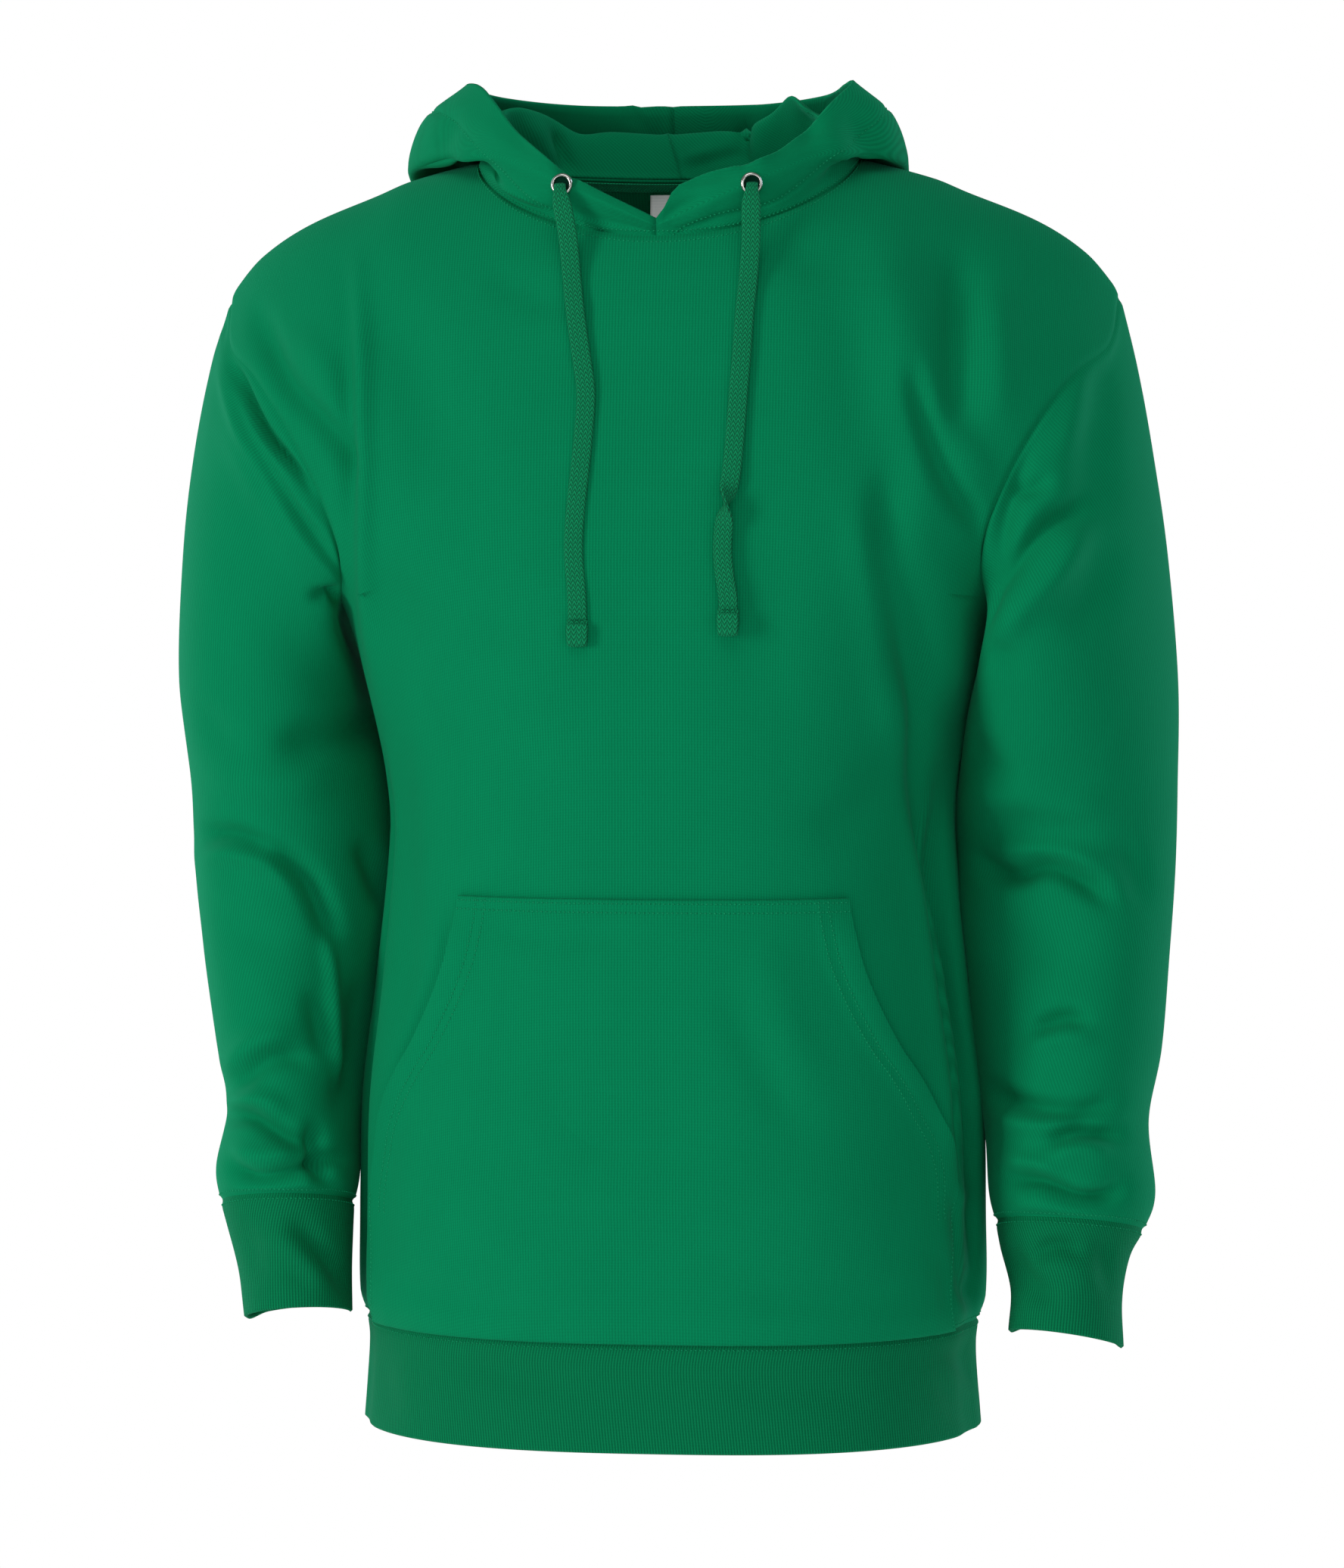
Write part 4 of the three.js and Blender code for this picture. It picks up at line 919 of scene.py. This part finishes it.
def shaped(grid, closed, flip, edges, seen=(), behind=(), layered=False, groove=None):
    # the cloth puffs up a little beside its seams, dips under a row of stitches, and has its folds
    n = softer(normalsOf(grid, closed, flip), closed)
    gap = sewnFade(grid, edges)
    rise = puff["high"] * (1 - np.exp(-((gap / puff["over"]) ** 2)))
    if groove:
        edge, at = groove
        away = sewnFade(grid, (edge,)) - at
        rise -= puff["grooveDeep"] * np.exp(-((away / puff["grooveWide"]) ** 2))
    facing = n @ np.array([sin(turn), -cos(turn), 0])
    fade = 1 - np.exp(-((gap / puff["foldsFadeOver"]) ** 2))
    if seen:
        shown = smooth((facing + 0.05) / 0.4)
        if layered:
            shown = shown - smooth((-facing + 0.05) / 0.4)
        rise += foldHeight(onPicture(grid), seen, pictureUnit) * shown * fade
    if behind:
        rise += foldHeight(grid[..., [0, 2]], behind, 1.0) * smooth((-facing + 0.1) / 0.4) * fade
    return grid + n * rise[..., None], n


# Meshes
def finishMesh(name, vertices, faces, material, uv=None):
    mesh = bpy.data.meshes.new(name)
    mesh.from_pydata([tuple(v) for v in np.asarray(vertices) * mm], [], [tuple(f) for f in faces])
    mesh.polygons.foreach_set("use_smooth", [True] * len(mesh.polygons))
    if uv is not None:
        layer = mesh.uv_layers.new(name="cloth")
        layer.data.foreach_set("uv", (np.asarray(uv, float) * mm).ravel())
    mesh.materials.append(finishes[material])
    mesh.update()
    obj = bpy.data.objects.new(name, mesh)
    bpy.context.scene.collection.objects.link(obj)
    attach(obj, "root")
    return obj


def clothUv(grid, closed):
    # distance along the rows and columns of the cloth
    nextTo = np.roll(grid, -1, 1) if closed else grid
    over = np.linalg.norm((nextTo - grid) if closed else np.diff(grid, axis=1), axis=-1)
    u = np.hstack([np.zeros((grid.shape[0], 1)), np.cumsum(over, 1)])
    u = u - u[:, -1:] / 2
    down = np.linalg.norm(np.diff(grid, axis=0), axis=-1)
    v = np.vstack([np.zeros(grid.shape[1]), np.cumsum(down, 0)])
    if closed:
        v = np.hstack([v, v[:, :1]])
    return np.stack([u, v], -1)


def panelUv(grid):
    # the knit's lines run straight down a panel, and lie closer only where it turns to the side
    half = curveAt(body, 1, grid[..., 2])
    over = np.minimum(np.abs(grid[..., 0]) / half, 1)
    turned = 96 * (1 - np.sqrt(np.maximum(1 - over ** cut["fullness"], 0)))
    across = grid[..., 0] + np.sign(grid[..., 0]) * turned
    return np.stack([across, 0.5 * np.abs(grid[..., 1]) - grid[..., 2]], -1)


def turnedOver(faces, loops):
    # the same faces seen from the other side, with each one's UV in its new order
    flipped, at = [], 0
    for f in faces:
        flipped.extend(loops[at : at + len(f)][::-1])
        at += len(f)
    return [f[::-1] for f in faces], flipped


def makeWall(name, grid, n, closed, wall, material, uv):
    # a closed wall: outer face, a rounded edge, inner face, a rounded edge
    inner = grid - n * wall
    lip = 0.42 * wall
    down = np.gradient(grid, axis=0)
    down /= np.maximum(np.linalg.norm(down, axis=-1, keepdims=True), 1e-9)
    endMid = (grid[-1] + inner[-1]) / 2 + down[-1] * lip
    startMid = (grid[0] + inner[0]) / 2 - down[0] * lip
    rows = np.concatenate([grid, endMid[None], inner[::-1], startMid[None]])
    tall, wide = rows.shape[:2]
    r, c = np.meshgrid(np.arange(tall), np.arange(wide if closed else wide - 1), indexing="ij")
    r2, c2 = (r + 1) % tall, (c + 1) % wide
    faces = np.stack([r * wide + c, r2 * wide + c, r2 * wide + c2, r * wide + c2], -1).reshape(-1, 4)
    uvRows = np.concatenate([uv, uv[-1:], uv[::-1], uv[:1]])
    loops = np.stack([uvRows[r, c], uvRows[r2, c], uvRows[r2, c + 1], uvRows[r, c + 1]], -2).reshape(-1, 2)
    faces, loops = faces.tolist(), loops.tolist()
    if not closed:
        count = grid.shape[0]
        for k in range(count - 1):
            outer, outerNext = k, k + 1
            innerAt, innerNext = 2 * count - k, 2 * count - k - 1
            for column, order in ((0, 1), (wide - 1, -1)):
                ring = [outer, innerAt, innerNext, outerNext][::order]
                faces.append([row * wide + column for row in ring])
                loops.extend(uvRows[row, column] for row in ring)
        for column, order in ((0, 1), (wide - 1, -1)):
            for ring in ([0, 2 * count + 1, 2 * count][::order], [count - 1, count + 1, count][::order]):
                faces.append([row * wide + column for row in ring])
                loops.extend(uvRows[row, column] for row in ring)
    vertices = rows.reshape(-1, 3)
    # the outer faces have to look out: compare one face with its normal
    f = faces[(len(grid) // 2) * (wide if closed else wide - 1) + wide // 2]
    a, b, d = vertices[f[0]], vertices[f[1]], vertices[f[2]]
    if np.dot(np.cross(b - a, d - a), n[len(grid) // 2, wide // 2]) < 0:
        faces, loops = turnedOver(faces, loops)
    return finishMesh(name, vertices, faces, material, loops)


shells = {}


def clothPiece(
    node, name, grid, closed, flip, wall, material, edges,
    seen=(), behind=(), layered=False, groove=None, grain=0,
):
    shape, n = shaped(grid, closed, flip, edges, seen, behind, layered, groove)
    uv = panelUv(grid) if name in ("frontPanel", "backPanel") else clothUv(grid, closed)
    uv = uv @ np.array([[cos(grain), sin(grain)], [-sin(grain), cos(grain)]])
    obj = makeWall(name, shape, n, closed, wall, material, uv)
    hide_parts(node)
    shells[node] = (shape, normalsOf(shape, closed, flip))


allSides = ("top", "bottom", "sides")
clothPiece(
    "front_panel", "frontPanel", front, False, True, 2, "fleece", allSides,
    folds["front"] + folds["besidePocket"],
)
clothPiece(
    "back_panel", "backPanel", back, False, False, 2, "fleece", allSides,
    behind=folds["back"],
)
for name, sign in (("left", -1), ("right", 1)):
    flip = sign < 0
    clothPiece(
        "sleeve_" + name, "sleeve" + name.title(), grids["sleeve_" + name], True, flip, 2, "fleece",
        ("top", "bottom"), folds["sleeve_" + name], folds["sleeve_" + name + "_behind"],
    )
    clothPiece(
        "cuff_" + name, "cuff" + name.title(), grids["cuff_" + name], True, flip, 2.4, "rib",
        ("top",), folds["cuff_" + name],
    )
    clothPiece(
        "hood_" + name, "hood" + name.title(), grids["hood_" + name], False, flip, 2, "fleece",
        ("top", "sides"), folds["hood"], layered=True, groove=("bottom", 25),
        grain=radians(40) * sign,
    )
clothPiece(
    "waistband", "hemBand", grids["waistband"], True, True, 2.4, "rib",
    ("top",), folds["band"], folds["band_behind"],
)
print("cloth pieces:", len(shells))

# Pocket
pocketLook = {
    "rows": 110,
    "columns": 96,
    "above": 2.1,  # how far it lies over the front
    "wall": 1.8,
    "hem": 18,
    "hemHigh": 0.4,
    "topHem": 6,
    "flare": 3.2,  # how far the openings stand off
    "flareWide": 14,
    "rowAt": 13,
    "rowDeep": 0.45,
    "rowWide": 1.8,
}
z = np.linspace(pocketEdge[0, 0], pocketEdge[-1, 0], pocketLook["rows"])
half = curveAt(body, 1, z)
part = curveAt(pocketEdge, 1, z) / half
spread = np.sin(pi / 2 * np.linspace(-1, 1, pocketLook["columns"]))
pocketGrid = np.array([bodyPoint(-1, part[k] * spread, z[k], half[k]) for k in range(len(z))])
pocketBase, _ = shaped(pocketGrid, False, True, ("none",), folds["front"])
n = normalsOf(pocketBase, False, True)
# the hems of the openings are doubled and stand off a little
toSide = sewnFade(pocketBase, ("sides",))
toTop = sewnFade(pocketBase, ("top",))
opening = smooth((z[:, None] + 560) / 60) * smooth((-405 - z[:, None]) / 25)
hems = 2 - smooth((toSide - pocketLook["hem"]) / 4) - smooth((toTop - pocketLook["topHem"]) / 3)
above = pocketLook["above"] + pocketLook["hemHigh"] * hems
above = above + pocketLook["flare"] * opening * np.exp(-((toSide / pocketLook["flareWide"]) ** 2))
rowDip = np.exp(-(((toSide - pocketLook["rowAt"]) / pocketLook["rowWide"]) ** 2))
above = above - pocketLook["rowDeep"] * rowDip * opening
pocketShape = pocketBase + n * above[..., None]
pocketShape += normalsOf(pocketShape, False, True) * (
    foldHeight(onPicture(pocketShape), folds["pocket"], pictureUnit)[..., None]
)
n = normalsOf(pocketShape, False, True)
pocket = makeWall("kangarooPocket", pocketShape, n, False, pocketLook["wall"], "fleece",
    panelUv(pocketGrid))
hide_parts("pocket")
shells["pocket"] = (pocketShape, n)
print("pocket: done")


# Seams and stitches
def besideEdge(node, edge, distance, columns=None):
    # points and normals along a line at that distance from an edge of a piece
    grid, n = shells[node]
    if edge in ("left", "right"):
        grid, n = grid.transpose(1, 0, 2), n.transpose(1, 0, 2)
    if edge in ("bottom", "right"):
        grid, n = grid[::-1], n[::-1]
    down = np.vstack([np.zeros(grid.shape[1]), np.cumsum(np.linalg.norm(np.diff(grid, axis=0),
        axis=-1), 0)])
    picked = range(grid.shape[1]) if columns is None else columns
    points, normals = [], []
    for c in picked:
        k = max(1, min(int(np.searchsorted(down[:, c], distance)), len(down) - 1))
        t = (distance - down[k - 1, c]) / max(down[k, c] - down[k - 1, c], 1e-9)
        points.append(grid[k - 1, c] * (1 - t) + grid[k, c] * t)
        normals.append(n[k - 1, c] * (1 - t) + n[k, c] * t)
    return np.array(points), np.array(normals)


stitch = {"pitch": 2.6, "long": 1.8, "thick": 1.0, "high": 0.7, "under": 0.3}
stitchVertices, stitchFaces = [], []


def sew(points, normals, closed=False):
    # a row of short threads that lie on the cloth
    if closed:
        points, normals = np.vstack([points, points[:1]]), np.vstack([normals, normals[:1]])
    far = np.concatenate([[0], np.cumsum(np.linalg.norm(np.diff(points, axis=0), axis=1))])
    places = np.arange(stitch["pitch"] / 2, far[-1], stitch["pitch"])
    for at in places:
        low = at - stitch["long"] / 2
        high = at + stitch["long"] / 2
        a, b = (np.array([np.interp(t, far, points[:, k]) for k in range(3)]) for t in (low, high))
        up = np.array([np.interp(at, far, normals[:, k]) for k in range(3)])
        up /= max(np.linalg.norm(up), 1e-9)
        side = np.cross(up, b - a)
        side *= stitch["thick"] / 2 / max(np.linalg.norm(side), 1e-9)
        centre = (a + b) / 2
        base = len(stitchVertices)
        stitchVertices.extend([a, b, centre + side, centre - side, centre + up * stitch["high"],
            centre - up * stitch["under"]])
        for ring in ((0, 4, 2), (0, 3, 4), (0, 2, 5), (0, 5, 3), (1, 2, 4), (1, 4, 3), (1, 5, 2),
            (1, 3, 5)):
            stitchFaces.append([base + k for k in ring])


# how far each row of stitches lies from its edge
rowsAt = {
    "neck": 5.2, "hoodSeam": 2.6, "channel": 25, "sleeveEnd": 3.6, "cuff": 2.9, "bodyEnd": 3.4, "band": 3.2,
    "pocketTop": (1.6, 6.6), "pocketOpening": (13, 18.6), "pocketSide": 2,
}
neckColumns = list(range(middle - fine["neck"], middle + fine["neck"] + 1))
openRows = [k for k, height in enumerate(z) if height > -585]
lowRows = [k for k, height in enumerate(z) if height < -572]
for node in ("front_panel", "back_panel"):
    sew(*besideEdge(node, "top", rowsAt["neck"], neckColumns))
    sew(*besideEdge(node, "bottom", rowsAt["bodyEnd"]))
for name in ("left", "right"):
    sew(*besideEdge("hood_" + name, "top", rowsAt["hoodSeam"]))
    sew(*besideEdge("hood_" + name, "bottom", rowsAt["channel"]))
    sew(*besideEdge("sleeve_" + name, "bottom", rowsAt["sleeveEnd"]), closed=True)
    sew(*besideEdge("cuff_" + name, "top", rowsAt["cuff"]), closed=True)
    for distance in rowsAt["pocketOpening"]:
        sew(*besideEdge("pocket", name, distance, openRows))
    sew(*besideEdge("pocket", name, rowsAt["pocketSide"], lowRows))
sew(*besideEdge("waistband", "top", rowsAt["band"]), closed=True)
for distance in rowsAt["pocketTop"]:
    sew(*besideEdge("pocket", "top", distance))
finishMesh("seamStitches", stitchVertices, stitchFaces, "thread")
print("stitches:", len(stitchFaces) // 8)


# Neck tape and label
tapeLook = {"wide": 9, "from": 0.5, "thick": 0.8, "inside": 2.4, "rows": 6}
tapeRows, tapeNormals = [], []
for distance in np.linspace(tapeLook["from"], tapeLook["from"] + tapeLook["wide"], tapeLook["rows"]):
    points, normals = besideEdge("back_panel", "top", distance, neckColumns[3:-3])
    tapeRows.append(points)
    tapeNormals.append(normals)
tapeNormals = np.array(tapeNormals)
tapeGrid = np.array(tapeRows) - tapeNormals * tapeLook["inside"]
tape = makeWall("neckTape", tapeGrid, tapeNormals, False, tapeLook["thick"], "tape",
    clothUv(tapeGrid, False))
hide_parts("neck_tape")

labelLook = {"thick": 0.5, "curl": 1.5, "cup": 0.3, "columns": 9, "rows": 16}
boxLow, boxHigh = (np.array(corner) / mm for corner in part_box("neck_label"))
x = np.linspace(boxLow[0], boxHigh[0], labelLook["columns"])
down = np.linspace(0, 1, labelLook["rows"])
cupped = labelLook["cup"] * ((x - x.mean()) / 6) ** 2
labelGrid = np.array([
    np.stack([x, boxLow[1] - labelLook["curl"] * t * t + cupped,
        boxHigh[2] + (boxLow[2] - boxHigh[2]) * t + 0 * x], -1)
    for t in down
])
labelNormals = normalsOf(labelGrid, False, True)
label = makeWall("neckLabel", labelGrid, labelNormals, False, labelLook["thick"], "label",
    clothUv(labelGrid, False))
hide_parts("neck_label")
print("neck: done")

# Eyelets
eyelet = {"lift": 0.25, "around": 56, "insideAround": 32}
ringProfile = [  # radius, height
    (4.2, -0.9), (4.2, 0.5), (4.35, 0.9), (4.7, 1.2), (5.1, 1.3), (5.5, 1.15), (5.9, 0.75),
    (6.2, 0.15), (6.2, -0.2), (5.6, -0.5), (5.0, -0.9),
]
for name in ("left", "right"):
    shape, n = shells["hood_" + name]
    seatRow, seatColumn = 3 * fine["hood"], fine["neck"] // 3
    facing = n[seatRow, seatColumn]
    centre = shape[seatRow, seatColumn] + facing * eyelet["lift"]
    sideways = np.cross(facing, [0, 0, 1.0])
    sideways /= np.linalg.norm(sideways)
    upwards = np.cross(sideways, facing)
    vertices, faces = [], []
    for k in range(eyelet["around"]):
        a = 2 * pi * k / eyelet["around"]
        out = sideways * cos(a) + upwards * sin(a)
        vertices.extend(centre + out * r + facing * h for r, h in ringProfile)
    deep = len(ringProfile)
    for k in range(eyelet["around"]):
        for j in range(deep):
            faces.append([
                k * deep + j, ((k + 1) % eyelet["around"]) * deep + j,
                ((k + 1) % eyelet["around"]) * deep + (j + 1) % deep, k * deep + (j + 1) % deep,
            ])
    ring = finishMesh("eyelet" + name.title(), vertices, faces, "eyelet_metal")
    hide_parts("eyelet_" + name)
    # painted shade: a near-black disc in each eyelet's hole stands in for the shadowed inside of the
    # channel
    rims = [(4.25, 0.2), (3.2, 0.05), (1.8, -0.1)]  # radius, height
    count = eyelet["insideAround"]
    vertices, faces = [], []
    for r, h in rims:
        for k in range(count):
            a = 2 * pi * k / count
            vertices.append(centre + (sideways * cos(a) + upwards * sin(a)) * r + facing * h)
    for j in range(len(rims) - 1):
        for k in range(count):
            beside = (k + 1) % count
            faces.append([j * count + k, j * count + beside, (j + 1) * count + beside, (j + 1) * count + k])
    faces.append([(len(rims) - 1) * count + k for k in range(count)])
    finishMesh("paintedHoleShade" + name.title(), vertices, faces, "hole")
print("eyelets: done")


# Drawcords
def alongRoute(points, step):
    points = np.array(points)
    fineLine = splineThrough(list(points[:, None, :]), 24)[:, 0]
    far = np.concatenate([[0], np.cumsum(np.linalg.norm(np.diff(fineLine, axis=0), axis=1))])
    places = np.linspace(0, far[-1], max(int(round(far[-1] / step)), 2) + 1)
    return np.stack([np.interp(places, far, fineLine[:, k]) for k in range(3)], -1), places


def flatTube(name, line, widths, thicks, spins, out, material):
    # a flat rounded section drawn along a line; spins turn it about the line
    tangent = np.gradient(line, axis=0)
    tangent /= np.linalg.norm(tangent, axis=1, keepdims=True)
    across = np.cross(tangent, out)
    across /= np.linalg.norm(across, axis=1, keepdims=True)
    up = np.cross(across, tangent)
    count = cord["sides"]
    a = 2 * pi * np.arange(count) / count
    cx, cy = (np.sign(part) * np.abs(part) ** (2 / cord["squareness"]) for part in (np.cos(a), np.sin(a)))
    far = np.concatenate([[0], np.cumsum(np.linalg.norm(np.diff(line, axis=0), axis=1))])
    vertices, uvAt, loops, faces = [], [], [], []
    for k in range(len(line)):
        w = across[k] * cos(spins[k]) + up[k] * sin(spins[k])
        h = up[k] * cos(spins[k]) - across[k] * sin(spins[k])
        for j in range(count):
            vertices.append(line[k] + w * cx[j] * widths[k] / 2 + h * cy[j] * thicks[k] / 2)
            uvAt.append((cx[j] * cord["wide"] / 2 + (30 if cy[j] < 0 else 0), far[k]))
    for k in range(len(line) - 1):
        for j in range(count):
            ring = [k * count + j, k * count + (j + 1) % count, (k + 1) * count + (j + 1) % count,
                (k + 1) * count + j]
            faces.append(ring)
            loops.extend(uvAt[i] for i in ring)
    for k, order in ((0, -1), (len(line) - 1, 1)):
        ring = [k * count + j for j in range(count)][::order]
        faces.append(ring)
        loops.extend(uvAt[i] for i in ring)
    f = faces[len(faces) // 2]
    a0, b0, d0 = (np.array(vertices[i]) for i in f[:3])
    if np.dot(np.cross(b0 - a0, d0 - a0), a0 - line[(len(faces) // 2) // count]) < 0:
        faces, loops = turnedOver(faces, loops)
    return finishMesh(name, vertices, faces, material, loops)


for name in ("left", "right"):
    line, places = alongRoute(np.array(cordRoutes[name]) / mm, cord["step"])
    begin = smooth(places / cord["spreadsOver"])
    widths = cord["atHole"] + (cord["wide"] - cord["atHole"]) * begin
    thicks = cord["thickAtHole"] + (cord["thick"] - cord["thickAtHole"]) * begin
    spins = np.zeros(len(line))
    if name == "right":
        twist = smooth((-line[:, 2] - cord["turnsFrom"]) / cord["turnsOver"])
        spins = pi * twist
        line[:, 1] -= cord["turnOut"] * np.sin(pi * twist)
    cordPiece = flatTube("drawcord" + name.title(), line, widths, thicks, spins, np.array([0, -1.0, 0]),
        "braid")
    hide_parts("drawcord_" + name)
    # its end is folded back to the front and stitched down
    end, bend = line[-1], tipLook["bend"]
    loop = [end + [0, 0, 1.5], end + [0, 0, -tipLook["fold"] + 1.5]]
    for a in (pi / 4, pi / 2, 3 * pi / 4, pi):
        loop.append(end + [0, -bend + bend * cos(a), -tipLook["fold"] + 1.5 - bend * sin(a)])
    loop += [end + [0, -2.75, -tipLook["fold"] / 2 + 1], end + [0, -2.7, -0.6]]
    fold, _ = alongRoute(loop, tipLook["step"])
    fold[:, 2] -= tipLook["drop"]
    tangent = np.gradient(fold, axis=0)
    tangent /= np.linalg.norm(tangent, axis=1, keepdims=True)
    outs = np.cross(np.array([1.0, 0, 0]), tangent)
    share = np.linspace(0, 1, len(fold))
    tipWidths = tipLook["wide"] + 0.5 * np.sin(share * 9) - 0.8 * smooth((share - 0.9) / 0.1)
    tipThicks = np.full(len(fold), tipLook["thick"])
    tip = flatTube("cordTip" + name.title(), fold, tipWidths, tipThicks, np.zeros(len(fold)), outs,
        "braid")
    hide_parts("cord_tip_" + name)
print("drawcords: done")

# Floor, out of the main view
stageSettings = {"depth": -1250, "radius": 2050, "colour": "#f6f7f7", "glow": 0.2}
floorMesh = bpy.data.meshes.new("floor")
floorRim = [2 * pi * k / 96 for k in range(96)]
floorMesh.from_pydata(
    [(stageSettings["radius"] * mm * cos(a), stageSettings["radius"] * mm * sin(a),
        stageSettings["depth"] * mm)
     for a in floorRim],
    [], [tuple(range(96))],
)
floor = bpy.data.objects.new("floor", floorMesh)
bpy.context.scene.collection.objects.link(floor)
floorFinish, _, floorShader = newFinish("paleFloor", Roughness=0.8)
floorShader.inputs["Base Color"].default_value = toLinear(stageSettings["colour"])
floorShader.inputs["Emission Color"].default_value = toLinear("#ffffff")
floorShader.inputs["Emission Strength"].default_value = stageSettings["glow"]
floor.data.materials.append(floorFinish)
